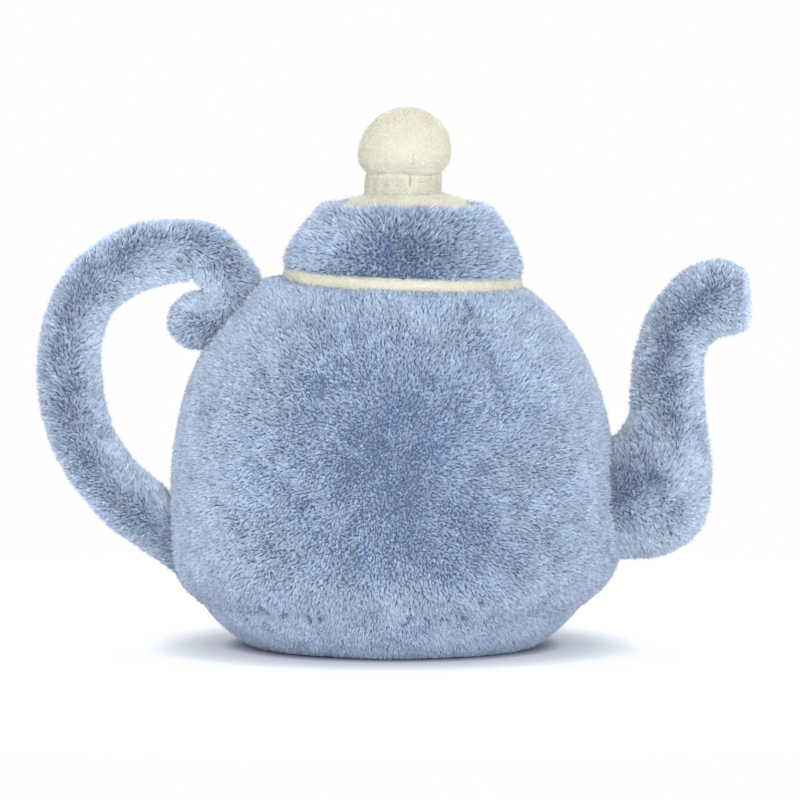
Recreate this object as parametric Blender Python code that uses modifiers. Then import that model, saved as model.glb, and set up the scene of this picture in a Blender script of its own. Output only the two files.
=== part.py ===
"""A plush teapot: a stuffed toy sewn from cut cloth, in metres, +Z up.

The spout points towards +X, the handle towards -X, and the origin is the middle of the flat base.
The cloth pieces are shells as thick as their backing and pile together, backed by the fibre that stuffs them.
"""

import math

import bmesh
import bpy
from mathutils import Vector

MM = 0.001
DEG = math.pi / 180

# Cloth and seams
PLUSH = 4.0 * MM
VELOUR = 2.0 * MM
SEAM_GAP = 0.3 * MM
CORE_GAP = 0.8 * MM
SEAM_DIP = 1.0 * MM
SEAM_DIP_WIDTH = 7.0 * MM
WELD = 0.01 * MM

# Body: a round belly, a domed shoulder that closes to the neck, and a foot that tucks in to the base seam
BELLY_RADIUS = 88.2 * MM
BELLY_HEIGHT = 48.0 * MM
NECK_RADIUS = 44.9 * MM
NECK_HEIGHT = 147.6 * MM
SHOULDER_POWER = 2.77
BASE_SEAM_RADIUS = 78.4 * MM
BASE_SEAM_HEIGHT = 20.4 * MM
FOOT_POWER = 3.4

# Body panels between upright seams, named from the spout round by the front, with the seam that starts each
BODY_PANELS = (
    ("body_panel_front_spout_side", 0),
    ("body_panel_front", 59),
    ("body_panel_front_handle_side", 110),
    ("body_panel_back_handle_side", 180),
    ("body_panel_back", 250),
    ("body_panel_back_spout_side", 301),
)

# Base: a flat round that the toy stands on, turned up all round to the base seam
BASE_FLAT_RADIUS = 51.0 * MM
BASE_BEND = 1.5 * MM
BASE_CLOTH = 3.0 * MM
POUCH_RADIUS = 44.0 * MM
POUCH_HEIGHT = 18.0 * MM

# Lid: it sits on a cream collar, a little towards the spout and leaning that way, as it was sewn
LID_SHIFT = 4.2 * MM
LID_LEAN = 2.2 * DEG
COLLAR_HALF_HEIGHT = 2.4 * MM
COLLAR_STANDOUT = 2.7 * MM
COLLAR_REST = 0.9 * MM
COLLAR_RADIUS = NECK_RADIUS + COLLAR_STANDOUT
LID_DRAW_IN = 0.6 * MM
LID_RADIUS = COLLAR_RADIUS - LID_DRAW_IN
LID_REST = 0.9 * MM
LID_HEIGHT = 26.0 * MM
LID_SHOULDER_RADIUS = 33.0 * MM
LID_SHOULDER_DROP = 2.3 * MM
DISC_RADIUS = 26.6 * MM
DISC_RISE = 4.8 * MM

# Knob: a gathered ball on a short band, whose drawn-in edge overhangs the band and swells from there
NECK_BAND_RADIUS = 15.3 * MM
NECK_BAND_HEIGHT = 6.9 * MM
KNOB_SHIFT = -1.3 * MM
KNOB_OVERHANG = 0.6 * MM
KNOB_SWELL = 2.1 * MM
KNOB_GATHER_RADIUS = NECK_BAND_RADIUS + KNOB_OVERHANG
KNOB_RADIUS = KNOB_GATHER_RADIUS + KNOB_SWELL

# Handle: a stuffed tube from the belly up, over, and down into a scroll against the shoulder
HANDLE_RADIUS = 12.2 * MM
HANDLE_HEIGHT = 47.6 * MM
HANDLE_ROOT_DEPTH = 16.0 * MM
# Out from the belly, up from the handle's root
HANDLE_RISE = (
    (1.4 * MM, 0.0 * MM),
    (21.6 * MM, 15.7 * MM),
    (34.2 * MM, 32.9 * MM),
)
# The bow's outermost point, from which it bends over to the top of the scroll
BOW_OUT = 40.9 * MM
BOW_HEIGHT = 108.0 * MM
BOW_POWER = 2.5
BOW_ANGLES = (0, 18, 36, 54, 72)
SCROLL_HEIGHT = 143.5 * MM
SCROLL_EYE = 1.7 * MM
SCROLL_PRESS = 1.1 * MM
SCROLL_ANGLES = range(90, -90, -27)
SCROLL_TAIL = 1.6 * MM
SCROLL_RADIUS = HANDLE_RADIUS + SCROLL_EYE
HANDLE_END_ANGLES = (0, 35, 62, 82)

# Spout: a swollen root on the belly, a slim neck and a lip that bends over. Each round of it lies between
# a point of its upper edge and one of its lower edge, out from the body and up from the middle of its root
SPOUT_HEIGHT = 61.3 * MM
SPOUT_ROOT_DEPTH = 16.0 * MM
SPOUT_FLATNESS = 0.9
SPOUT_ROUNDS = (
    ((5.0 * MM, 25.1 * MM), (6.0 * MM, -26.1 * MM)),
    ((6.6 * MM, 25.6 * MM), (20.4 * MM, -23.9 * MM)),
    ((7.3 * MM, 26.5 * MM), (33.0 * MM, -14.1 * MM)),
    ((7.7 * MM, 28.3 * MM), (38.0 * MM, 5.3 * MM)),
    ((8.0 * MM, 33.7 * MM), (36.3 * MM, 25.7 * MM)),
    ((8.7 * MM, 46.7 * MM), (34.7 * MM, 45.7 * MM)),
    ((11.2 * MM, 60.2 * MM), (36.0 * MM, 56.5 * MM)),
    ((17.0 * MM, 74.1 * MM), (39.2 * MM, 60.9 * MM)),
    ((27.4 * MM, 86.1 * MM), (43.0 * MM, 62.9 * MM)),
    ((42.0 * MM, 92.7 * MM), (47.5 * MM, 63.5 * MM)),
)
LIP_REACH = 4.0 * MM
LIP_DRAW_IN = 1.7 * MM
TIP_CLOTH = 3.0 * MM

# Counts of flat faces
BODY_STEPS = 45
OUTLINE_STEPS = 9
FOOT_STEPS = 4
BEND_STEPS = 4
BASE_STEPS = 36
CORE_STEPS = 20
LID_STEPS = 36
LID_FLANK_STEPS = 5
DISC_RINGS = 4
KNOB_STEPS = 24
KNOB_RINGS = 9
TUBE_SIDES = 16
CORE_SIDES = 8
TUBE_STEPS = 2

# Each finish is a colour and a roughness
BLUE_PLUSH = ((0.33, 0.41, 0.58), 0.9)
CREAM_VELOUR = ((0.79, 0.75, 0.61), 0.85)
FIBRE = ((0.88, 0.88, 0.86), 1.0)
COTTON = ((0.72, 0.66, 0.55), 0.95)
SHARP_ANGLE = 50 * DEG
QUARTER = math.pi / 2
FULL_TURN = 2 * math.pi


def clear_scene():
    for obj in list(bpy.data.objects):
        bpy.data.objects.remove(obj, do_unlink=True)


def new_collection(name, hidden=False):
    collection = bpy.data.collections.new(name)
    collection.hide_render = hidden
    bpy.context.scene.collection.children.link(collection)
    return collection


def dress(obj, finish):
    """Gives the piece its own cloth or filling, and smooth shading away from its cut edges."""
    colour, roughness = finish
    material = bpy.data.materials.new(obj.name)
    material.use_nodes = True
    shader = material.node_tree.nodes["Principled BSDF"]
    shader.inputs["Base Color"].default_value = (*colour, 1)
    shader.inputs["Roughness"].default_value = roughness
    shader.inputs["Metallic"].default_value = 0
    obj.data.materials.clear()
    obj.data.materials.append(material)
    obj.data.shade_smooth()
    obj.data.set_sharp_from_angle(angle=SHARP_ANGLE)
    return obj


def place(name, mesh, collection, parent=None, location=(0, 0, 0)):
    obj = bpy.data.objects.new(name, mesh)
    collection.objects.link(obj)
    obj.parent = parent
    obj.location = location
    return obj


def as_cutter(obj):
    obj.hide_render = True
    obj.display_type = "WIRE"
    return obj


def evaluated_mesh(obj):
    """The object's mesh with its modifiers made, and the object itself taken away."""
    bpy.context.view_layer.update()
    graph = bpy.context.evaluated_depsgraph_get()
    mesh = bpy.data.meshes.new_from_object(obj.evaluated_get(graph))
    bpy.data.objects.remove(obj, do_unlink=True)
    return mesh


def tidy(mesh, fill_ends=False):
    """Welds the mesh, closes the two ends of an open strip and turns every face outwards."""
    bm = bmesh.new()
    bm.from_mesh(mesh)
    bmesh.ops.remove_doubles(bm, verts=bm.verts, dist=WELD)
    if fill_ends:
        bmesh.ops.holes_fill(bm, edges=bm.edges)
    bmesh.ops.recalc_face_normals(bm, faces=bm.faces)
    bm.to_mesh(mesh)
    bm.free()
    return mesh


def turned(name, points, steps, start=0.0, sweep=FULL_TURN, loop=False):
    """A (radius, height) line turned about Z. A loop makes a ring, or a strip with two ends."""
    bm = bmesh.new()
    verts = [bm.verts.new((r * math.cos(start), r * math.sin(start), z)) for r, z in points]
    pairs = list(zip(verts, verts[1:]))
    if loop:
        pairs.append((verts[-1], verts[0]))
    for pair in pairs:
        bm.edges.new(pair)
    mesh = bpy.data.meshes.new(name)
    bm.to_mesh(mesh)
    bm.free()
    profile = place(name, mesh, bpy.context.scene.collection)
    screw = profile.modifiers.new("turn", "SCREW")
    screw.angle = sweep
    screw.steps = screw.render_steps = steps
    screw.use_merge_vertices = True
    screw.merge_threshold = WELD
    return tidy(evaluated_mesh(profile), fill_ends=loop and sweep < FULL_TURN)


def inset(line, depth):
    """A (radius, height) line that runs down the outside, moved inwards square to itself."""
    moved = []
    for i, (r, z) in enumerate(line):
        before = Vector(line[max(i - 1, 0)])
        after = Vector(line[min(i + 1, len(line) - 1)])
        along = (after - before).normalized()
        moved.append((max(r + depth * along.y, 0), z - depth * along.x))
    return moved


def cloth_section(line, thickness):
    """The cut edge of a cloth whose outer face is the line."""
    return line + inset(line, thickness)[::-1]


def cut(obj, cutter):
    modifier = obj.modifiers.new("cut", "BOOLEAN")
    modifier.operation = "DIFFERENCE"
    modifier.solver = "EXACT"
    modifier.object = cutter


def tube(name, path, sides):
    """A closed tube through (x, z, radius) points in the upright middle plane."""
    curve = bpy.data.curves.new(name, "CURVE")
    curve.dimensions = "3D"
    curve.bevel_depth = 1
    curve.bevel_resolution = sides // 2 - 2
    curve.resolution_u = TUBE_STEPS
    curve.use_fill_caps = True
    spline = curve.splines.new("BEZIER")
    spline.radius_interpolation = "EASE"
    spline.bezier_points.add(len(path) - 1)
    for point, (x, z, radius) in zip(spline.bezier_points, path):
        point.co = (x, 0, z)
        point.radius = radius
        point.handle_left_type = "AUTO"
        point.handle_right_type = "AUTO"
    return tidy(evaluated_mesh(place(name, curve, bpy.context.scene.collection)))


def body_radius(height):
    """How far the outside of the body stands from its axis at this height, or at its neck above that."""
    if height >= BELLY_HEIGHT:
        reach = (min(height, NECK_HEIGHT) - BELLY_HEIGHT) / (NECK_HEIGHT - BELLY_HEIGHT)
        closing = 1 - (NECK_RADIUS / BELLY_RADIUS) ** 2
        return BELLY_RADIUS * math.sqrt(1 - closing * reach**SHOULDER_POWER)
    drop = (BELLY_HEIGHT - height) / (BELLY_HEIGHT - BASE_SEAM_HEIGHT)
    return BELLY_RADIUS - (BELLY_RADIUS - BASE_SEAM_RADIUS) * drop**FOOT_POWER


def body_line():
    """The body's outline from the neck down to the base seam."""
    rise = NECK_HEIGHT - BELLY_HEIGHT
    fall = BELLY_HEIGHT - BASE_SEAM_HEIGHT
    heights = [BELLY_HEIGHT + rise * math.cos(QUARTER * i / OUTLINE_STEPS) for i in range(OUTLINE_STEPS)]
    heights += [BELLY_HEIGHT - fall * math.sin(QUARTER * i / FOOT_STEPS) for i in range(FOOT_STEPS + 1)]
    return [(body_radius(z), z) for z in heights]


def base_line():
    """The base's outline from the base seam, in line with the body's edge there, in to its middle."""
    before, seam = (Vector(point) for point in body_line()[-2:])
    along = (seam - before).normalized()
    edge = seam + along * SEAM_GAP
    turn = edge + along * BASE_CLOTH
    corner = Vector((BASE_FLAT_RADIUS + BASE_BEND, 0))
    flat = Vector((BASE_FLAT_RADIUS, 0))
    line = [tuple(edge)]
    for i in range(BEND_STEPS + 1):
        t = i / BEND_STEPS
        line.append(tuple(turn.lerp(corner, t).lerp(corner.lerp(flat, t), t)))
    return line + [(0, 0)]


def seam_distance(angle):
    """How far round the body this angle lies from the nearest upright seam."""
    return min(abs(math.remainder(angle - seam * DEG, FULL_TURN)) for _, seam in BODY_PANELS)


def dip_to_seams(mesh):
    """Draws the cloth in along the upright seams, so that each panel swells between them."""
    foot = BASE_SEAM_HEIGHT + PLUSH
    rise = NECK_HEIGHT - PLUSH - foot
    for vertex in mesh.vertices:
        x, y, z = vertex.co
        radius = math.hypot(x, y)
        depth = SEAM_DIP * math.sin(math.pi * min(max((z - foot) / rise, 0), 1))
        away = seam_distance(math.atan2(y, x)) * radius / SEAM_DIP_WIDTH
        scale = 1 - depth * math.exp(-(away**2)) / radius
        vertex.co = (x * scale, y * scale, z)
    return mesh


def make_body(parts):
    section = cloth_section(body_line(), PLUSH)
    gap = SEAM_GAP / body_radius(NECK_HEIGHT)
    starts = [seam for _, seam in BODY_PANELS]
    for (name, start), end in zip(BODY_PANELS, starts[1:] + [360]):
        steps = round(BODY_STEPS * (end - start) / 360)
        sweep = (end - start) * DEG - gap
        mesh = turned(name, section, steps, start * DEG + gap / 2, sweep, loop=True)
        dress(place(name, dip_to_seams(mesh), parts), BLUE_PLUSH)

    base = turned("base_panel", inset(base_line(), BASE_CLOTH)[::-1] + base_line(), BASE_STEPS)
    dress(place("base_panel", base, parts), BLUE_PLUSH)


def make_filling(parts, cutters):
    """The fibre that fills the body, hollowed underneath for the pouch of pellets that weighs the base."""
    depth = PLUSH + SEAM_DIP + SEAM_GAP
    line = [(0, NECK_HEIGHT)] + inset(body_line(), depth)
    line += inset(base_line(), BASE_CLOTH + SEAM_GAP)[1:]
    stuffing = place("body_stuffing", turned("body_stuffing", line, CORE_STEPS), parts)
    floor = BASE_CLOTH + SEAM_GAP
    room = turned("pouch_room", pouch_line(SEAM_GAP), CORE_STEPS)
    cut(stuffing, as_cutter(place("pouch_room", room, cutters, location=(0, 0, floor))))
    dress(stuffing, FIBRE)
    pouch = turned("pellet_pouch", pouch_line(0), CORE_STEPS)
    dress(place("pellet_pouch", pouch, parts, location=(0, 0, floor)), COTTON)


def pouch_line(room):
    """A flat round bag, or with some room the hollow that it lies in, open at the filling's foot."""
    foot = -2 * room
    half = POUCH_HEIGHT / 2
    side = [
        (POUCH_RADIUS - half + (half + room) * math.cos(a), half + (half + room) * math.sin(a))
        for a in (QUARTER, QUARTER / 2, 0, -QUARTER / 2)
    ]
    return [(0, POUCH_HEIGHT + room)] + side + [(POUCH_RADIUS - half + room, foot), (0, foot)]


def make_collar(parts, seat, body):
    half = COLLAR_HALF_HEIGHT
    line = [
        (COLLAR_RADIUS - half * (1 - math.cos(a)), half * math.sin(a))
        for a in (QUARTER, QUARTER / 2, 0, -QUARTER / 2, -QUARTER)
    ]
    mesh = back_seamed_strip("collar_band", line, VELOUR, COLLAR_RADIUS, LID_STEPS)
    collar = place("collar_band", mesh, parts, seat)
    cut(collar, body)
    dress(collar, CREAM_VELOUR)


def back_seamed_strip(name, line, thickness, radius, steps):
    """A strip of cloth sewn into a ring, whose two ends meet at the middle of the back."""
    gap = SEAM_GAP / radius
    return turned(name, cloth_section(line, thickness), steps, gap / 2 - QUARTER, FULL_TURN - gap, loop=True)


def lid_line():
    """The lid's side from the edge of its top disc, over its round shoulder, down to the collar."""
    foot = COLLAR_HALF_HEIGHT + LID_REST
    top = foot + LID_HEIGHT
    line = [(DISC_RADIUS + SEAM_GAP, top), ((DISC_RADIUS + LID_SHOULDER_RADIUS) / 2, top)]
    for i in range(LID_FLANK_STEPS + 1):
        drop = i / LID_FLANK_STEPS
        radius = LID_SHOULDER_RADIUS + (LID_RADIUS - LID_SHOULDER_RADIUS) * math.sin(drop * QUARTER)
        line.append((radius, top - LID_SHOULDER_DROP - (LID_HEIGHT - LID_SHOULDER_DROP) * drop))
    return line


def disc_line():
    """The lid's domed top disc, from its middle out to its rim."""
    rim = lid_line()[0][1]
    shares = [i / DISC_RINGS for i in range(DISC_RINGS + 1)]
    return [(DISC_RADIUS * share, rim + DISC_RISE * (1 - share**2)) for share in shares]


def make_lid(parts, seat):
    side = back_seamed_strip("lid_side", lid_line(), PLUSH, DISC_RADIUS, LID_STEPS)
    dress(place("lid_side", side, parts, seat), BLUE_PLUSH)
    disc = turned("lid_top_disc", cloth_section(disc_line(), VELOUR), LID_STEPS)
    dress(place("lid_top_disc", disc, parts, seat), CREAM_VELOUR)

    inner = inset(lid_line()[2:], PLUSH + SEAM_GAP)
    ceiling = lid_line()[0][1] - PLUSH - SEAM_GAP
    floor = COLLAR_HALF_HEIGHT
    line = [(0, ceiling)] + [(r, min(z, ceiling)) for r, z in inner] + [(inner[-1][0], floor), (0, floor)]
    filling = turned("lid_stuffing", line, CORE_STEPS)
    dress(place("lid_stuffing", filling, parts, seat), FIBRE)


def make_knob(parts, seat):
    foot = disc_line()[0][1] + SEAM_GAP
    top = foot + NECK_BAND_HEIGHT
    centre = top + SEAM_GAP + math.sqrt(KNOB_RADIUS**2 - KNOB_GATHER_RADIUS**2)
    place_at = (KNOB_SHIFT, 0, 0)

    band_line = [(NECK_BAND_RADIUS, top), (NECK_BAND_RADIUS, foot)]
    band = back_seamed_strip("knob_neck_band", band_line, VELOUR, NECK_BAND_RADIUS, KNOB_STEPS)
    dress(place("knob_neck_band", band, parts, seat, place_at), CREAM_VELOUR)

    gather = QUARTER + math.acos(KNOB_GATHER_RADIUS / KNOB_RADIUS)
    angles = [gather * i / KNOB_RINGS for i in range(KNOB_RINGS + 1)]
    ball = [(KNOB_RADIUS * math.sin(a), centre + KNOB_RADIUS * math.cos(a)) for a in angles]
    mesh = turned("knob_ball", cloth_section(ball, VELOUR), KNOB_STEPS)
    dress(place("knob_ball", mesh, parts, seat, place_at), CREAM_VELOUR)

    core = inset(ball, VELOUR + SEAM_GAP)
    waist = NECK_BAND_RADIUS - VELOUR - SEAM_GAP
    line = [(min(r, waist) if z < top + VELOUR else r, z) for r, z in core]
    line += [(waist, foot), (0, foot)]
    filling = turned("knob_stuffing", line, KNOB_STEPS)
    dress(place("knob_stuffing", filling, parts, seat, place_at), FIBRE)


def body_room(cutters):
    """The body's outside and a seam's gap more, which the handle and the spout are cut to fit."""
    line = [(0, NECK_HEIGHT + SEAM_GAP)] + inset(body_line(), -SEAM_GAP) + [(0, BASE_SEAM_HEIGHT)]
    return as_cutter(place("body_room", turned("body_room", line, 2 * BASE_STEPS), cutters))


def half_room(name, cutters, side):
    """A block over one side of the upright middle plane, past the seam's gap."""
    bpy.ops.mesh.primitive_cube_add(size=1)
    block = bpy.context.object
    block.name = name
    # Well past the handle and the spout
    reach = 4 * BELLY_RADIUS
    block.scale = (2 * reach, reach, 2 * reach)
    block.location = (0, side * (reach - SEAM_GAP) / 2, NECK_HEIGHT)
    for collection in list(block.users_collection):
        collection.objects.unlink(block)
    cutters.objects.link(block)
    return as_cutter(block)


def sewn_pair(name, outside, hollow, body, halves, parts):
    """Two mirrored cloth panels round a hollow, sewn along their edges and against the body."""
    for side, other_half in halves.items():
        panel = place(f"{name}_panel_{side}", outside.copy(), parts)
        cut(panel, other_half)
        cut(panel, hollow)
        cut(panel, body)
        dress(panel, BLUE_PLUSH)


def handle_path(depth):
    """The handle's middle line, as (x, z, radius), for a tube this deep inside its cloth."""
    radius = HANDLE_RADIUS - depth
    root = Vector(HANDLE_RISE[0])
    inside = root - (Vector(HANDLE_RISE[1]) - root).normalized() * HANDLE_ROOT_DEPTH
    path = [(-BELLY_RADIUS - out, HANDLE_HEIGHT + up, radius) for out, up in (inside, *HANDLE_RISE)]
    middle = SCROLL_PRESS - body_radius(SCROLL_HEIGHT) - SCROLL_RADIUS - HANDLE_RADIUS
    reach = middle + BELLY_RADIUS + BOW_OUT
    rise = SCROLL_HEIGHT + SCROLL_RADIUS - BOW_HEIGHT
    for angle in BOW_ANGLES:
        out = reach * math.cos(angle * DEG) ** (2 / BOW_POWER)
        path.append((middle - out, BOW_HEIGHT + rise * math.sin(angle * DEG) ** (2 / BOW_POWER), radius))
    for angle in SCROLL_ANGLES:
        x = middle + SCROLL_RADIUS * math.cos(angle * DEG)
        path.append((x, SCROLL_HEIGHT + SCROLL_RADIUS * math.sin(angle * DEG), radius))
    end = middle - SCROLL_TAIL
    floor = SCROLL_HEIGHT - SCROLL_RADIUS
    for angle in HANDLE_END_ANGLES:
        path.append((end - radius * math.sin(angle * DEG), floor, radius * math.cos(angle * DEG)))
    return path


def make_handle(parts, cutters, body, halves):
    outside = tube("handle", handle_path(0), TUBE_SIDES)
    hollow = tube("handle_hollow", handle_path(PLUSH), TUBE_SIDES)
    hollow = as_cutter(place("handle_hollow", hollow, cutters))
    sewn_pair("handle", outside, hollow, body, halves, parts)
    core = tube("handle_stuffing", handle_path(PLUSH + CORE_GAP), CORE_SIDES)
    stuffing = place("handle_stuffing", core, parts)
    cut(stuffing, body)
    dress(stuffing, FIBRE)


def smooth_line(points):
    """The points with one more between each two, on a cubic curve through the four points around it."""
    last = len(points) - 1
    line = [Vector(points[0])]
    for i in range(last):
        before, here, there, after = (Vector(points[min(max(i + k, 0), last)]) for k in (-1, 0, 1, 2))
        line.append((9 * (here + there) - before - after) / 16)
        line.append(there)
    return line


def spout_lip():
    """The upper and lower edge points of the spout's upright lip."""
    (_, top), (out, bottom) = SPOUT_ROUNDS[-1]
    return (out + LIP_REACH, top - LIP_DRAW_IN), (out + LIP_REACH, bottom + LIP_DRAW_IN)


def spout_rounds(past_lip):
    """The upper and lower edge points of the spout's rounds, from inside the body to so far past its lip."""
    root = Vector((body_radius(SPOUT_HEIGHT), SPOUT_HEIGHT))
    edges = []
    for edge in zip(*SPOUT_ROUNDS, spout_lip()):
        line = smooth_line([root + Vector(point) for point in edge])
        inside = Vector((root.x - SPOUT_ROOT_DEPTH, line[0].y))
        edges.append([inside] + line + [line[-1] + Vector((past_lip, 0))] * (past_lip > 0))
    return list(zip(*edges))


def spout_tube(name, depth, past_lip, sides):
    """A closed tube lofted through the spout's rounds, this deep inside its cloth."""
    bm = bmesh.new()
    rings = []
    for upper, lower in spout_rounds(past_lip):
        middle = (upper + lower) / 2
        radius = (upper - lower).length / 2 - depth
        across = (upper - lower).normalized()
        ring = bmesh.ops.create_circle(bm, segments=sides, radius=radius)["verts"]
        for vertex in ring:
            side, along = vertex.co.x, vertex.co.y
            vertex.co = (middle.x + along * across.x, side * SPOUT_FLATNESS, middle.y + along * across.y)
        rings.append([edge for edge in bm.edges if edge.verts[0] in ring and edge.verts[1] in ring])
    for one, other in zip(rings, rings[1:]):
        bmesh.ops.bridge_loops(bm, edges=one + other)
    bmesh.ops.holes_fill(bm, edges=bm.edges)
    mesh = bpy.data.meshes.new(name)
    bm.to_mesh(mesh)
    bm.free()
    return tidy(mesh)


def make_spout(parts, cutters, body, halves):
    outside = spout_tube("spout", 0, 0, TUBE_SIDES)
    hollow = spout_tube("spout_hollow", PLUSH, PLUSH, TUBE_SIDES)
    hollow = as_cutter(place("spout_hollow", hollow, cutters))
    sewn_pair("spout", outside, hollow, body, halves, parts)
    stuffing = place("spout_stuffing", spout_tube("spout_stuffing", PLUSH + CORE_GAP, 0, CORE_SIDES), parts)
    cut(stuffing, body)
    dress(stuffing, FIBRE)

    upper, lower = spout_rounds(0)[-1]
    radius = (upper - lower).length / 2
    rim = [
        (radius - TIP_CLOTH * (1 - math.cos(a)), TIP_CLOTH * math.sin(a)) for a in (QUARTER, QUARTER / 2, 0)
    ]
    mesh = turned("spout_tip_disc", [(0, TIP_CLOTH)] + rim + [(0, 0)], CORE_STEPS)
    middle = (upper + lower) / 2
    tip = place("spout_tip_disc", mesh, parts, location=(middle.x + SEAM_GAP, 0, middle.y))
    tip.rotation_euler = (0, QUARTER, 0)
    for vertex in mesh.vertices:
        vertex.co.y *= SPOUT_FLATNESS
    dress(tip, BLUE_PLUSH)


def main():
    clear_scene()
    parts = new_collection("plush_teapot")
    cutters = new_collection("cutters", hidden=True)
    seat = bpy.data.objects.new("lid_seat", None)
    seat.location = (LID_SHIFT, 0, NECK_HEIGHT + COLLAR_REST)
    seat.rotation_euler = (0, LID_LEAN, 0)
    parts.objects.link(seat)

    make_body(parts)
    make_filling(parts, cutters)
    body = body_room(cutters)
    make_collar(parts, seat, body)
    make_lid(parts, seat)
    make_knob(parts, seat)
    halves = {"back": half_room("front_half", cutters, 1), "front": half_room("back_half", cutters, -1)}
    make_handle(parts, cutters, body, halves)
    make_spout(parts, cutters, body, halves)
    print("pieces:", len([obj for obj in parts.objects if obj.type == "MESH"]))


main()
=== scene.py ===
# %% [markdown]
# # A plush teapot, dressed
# The solids of the toy come packed in a frame, at their real size. This lesson sews the visible cloth
# around them: smooth skins for the cut panels, the body's swollen by a cloth simulation, and a pile of real
# fibres on every skin. The toy is seen from its plain back, with the spout to the right.

# %% Load the frame
import itertools
import math
from collections import namedtuple

import bpy
import numpy as np
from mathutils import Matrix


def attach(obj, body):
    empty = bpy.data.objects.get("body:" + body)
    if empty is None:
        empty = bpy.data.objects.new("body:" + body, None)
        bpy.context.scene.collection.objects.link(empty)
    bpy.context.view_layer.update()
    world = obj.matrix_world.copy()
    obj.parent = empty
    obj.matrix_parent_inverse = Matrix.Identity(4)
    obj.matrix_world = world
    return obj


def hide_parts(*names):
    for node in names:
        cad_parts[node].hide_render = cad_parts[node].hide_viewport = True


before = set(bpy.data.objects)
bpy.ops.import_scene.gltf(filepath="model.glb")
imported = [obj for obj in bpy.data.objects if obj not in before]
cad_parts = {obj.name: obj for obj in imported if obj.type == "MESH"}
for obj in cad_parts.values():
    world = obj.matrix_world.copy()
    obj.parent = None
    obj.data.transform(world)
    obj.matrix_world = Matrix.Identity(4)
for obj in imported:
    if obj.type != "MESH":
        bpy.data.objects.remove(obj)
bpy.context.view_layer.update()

MM = 0.001
print("solids in the frame:", len(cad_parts))

# %% [markdown]
# ## Camera
# The photograph was taken from far away and a little above the table, so the upright lines stay upright and
# the collar shows as a shallow smile. A long lens at 4 metres does the same.

# %% Camera
AIM = np.array((3.2, 0.0, 98.3)) * MM
CAMERA_DISTANCE = 4.0
CAMERA_RISE = math.radians(4.8)
PICTURE_WIDTH = 0.320

camera_data = bpy.data.cameras.new("camera")
camera_data.lens = camera_data.sensor_width * CAMERA_DISTANCE / PICTURE_WIDTH
camera = bpy.data.objects.new("camera", camera_data)
bpy.context.scene.collection.objects.link(camera)
back_off = np.array((0, -math.cos(CAMERA_RISE), math.sin(CAMERA_RISE))) * CAMERA_DISTANCE
camera.location = AIM + back_off
camera.rotation_euler = (math.pi / 2 - CAMERA_RISE, 0, 0)
bpy.context.scene.camera = camera
print("lens:", round(camera_data.lens, 1), "mm")

# %% [markdown]
# ## Shader maths as Python
# A material is a graph of nodes. Wrapping a node's output in a small class lets a mask be written as
# `1 - mask`, and one method makes every other kind of node from its type, its settings and what goes into
# its sockets.


# %% One class for node outputs
class Wire:
    """The output of a node, or with no socket the empty start of a node tree."""

    def __init__(self, tree, socket=None):
        self.tree = tree
        self.socket = socket

    def node(self, kind, settings=(), inputs=(), output=0):
        made = self.tree.nodes.new(kind)
        for key, value in dict(settings).items():
            if key == "stops":
                self.set_stops(made.color_ramp, value)
            else:
                setattr(made, key, value)
        for key, value in dict(inputs).items():
            if isinstance(value, Wire):
                self.tree.links.new(value.socket, made.inputs[key])
            else:
                made.inputs[key].default_value = value
        return Wire(self.tree, made.outputs[output] if len(made.outputs) else None)

    @staticmethod
    def set_stops(ramp, stops):
        while len(ramp.elements) < len(stops):
            ramp.elements.new(0.5)
        for element, (place, colour) in zip(ramp.elements, stops):
            element.position = place
            element.color = (*colour, 1)

    def maths(self, operation, one, other):
        return self.node("ShaderNodeMath", {"operation": operation}, {0: one, 1: other})

    def __add__(self, other):
        return self.maths("ADD", self, other)

    def __sub__(self, other):
        return self.maths("SUBTRACT", self, other)

    def __rsub__(self, other):
        return self.maths("SUBTRACT", other, self)

    def __mul__(self, other):
        return self.maths("MULTIPLY", self, other)

    __radd__ = __add__
    __rmul__ = __mul__


def new_material(name):
    material = bpy.data.materials.new(name)
    material.use_nodes = True
    material.node_tree.nodes.clear()
    return material, Wire(material.node_tree)


def linear(red, green, blue):
    """A colour as a paint chart gives it, 0 to 255, turned into light."""
    shares = np.array((red, green, blue)) / 255
    light = np.where(shares <= 0.04045, shares / 12.92, ((shares + 0.055) / 1.055) ** 2.4)
    return tuple(float(part) for part in light)


print("shader maths ready")

# %% [markdown]
# ## Cloth colours
# Each fibre of the pile is darkest at its root, where its neighbours shade it, and palest at its tip, and
# no two tufts take the dye alike. The fibres carry that in their own UV map: up is root to tip, and across
# is how pale the tuft is. The map keeps to one corner of the square, so that a bake of it stays small. A Mix
# node has sockets for numbers, vectors and colours side by side, so those for colours are named here.

# %% Pile materials
PILE_MAP = "OFBake"
MAP_CORNER = 0.25
MIX_SHARE, MIX_FIRST, MIX_SECOND, MIX_RESULT = 0, 6, 7, 2


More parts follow.
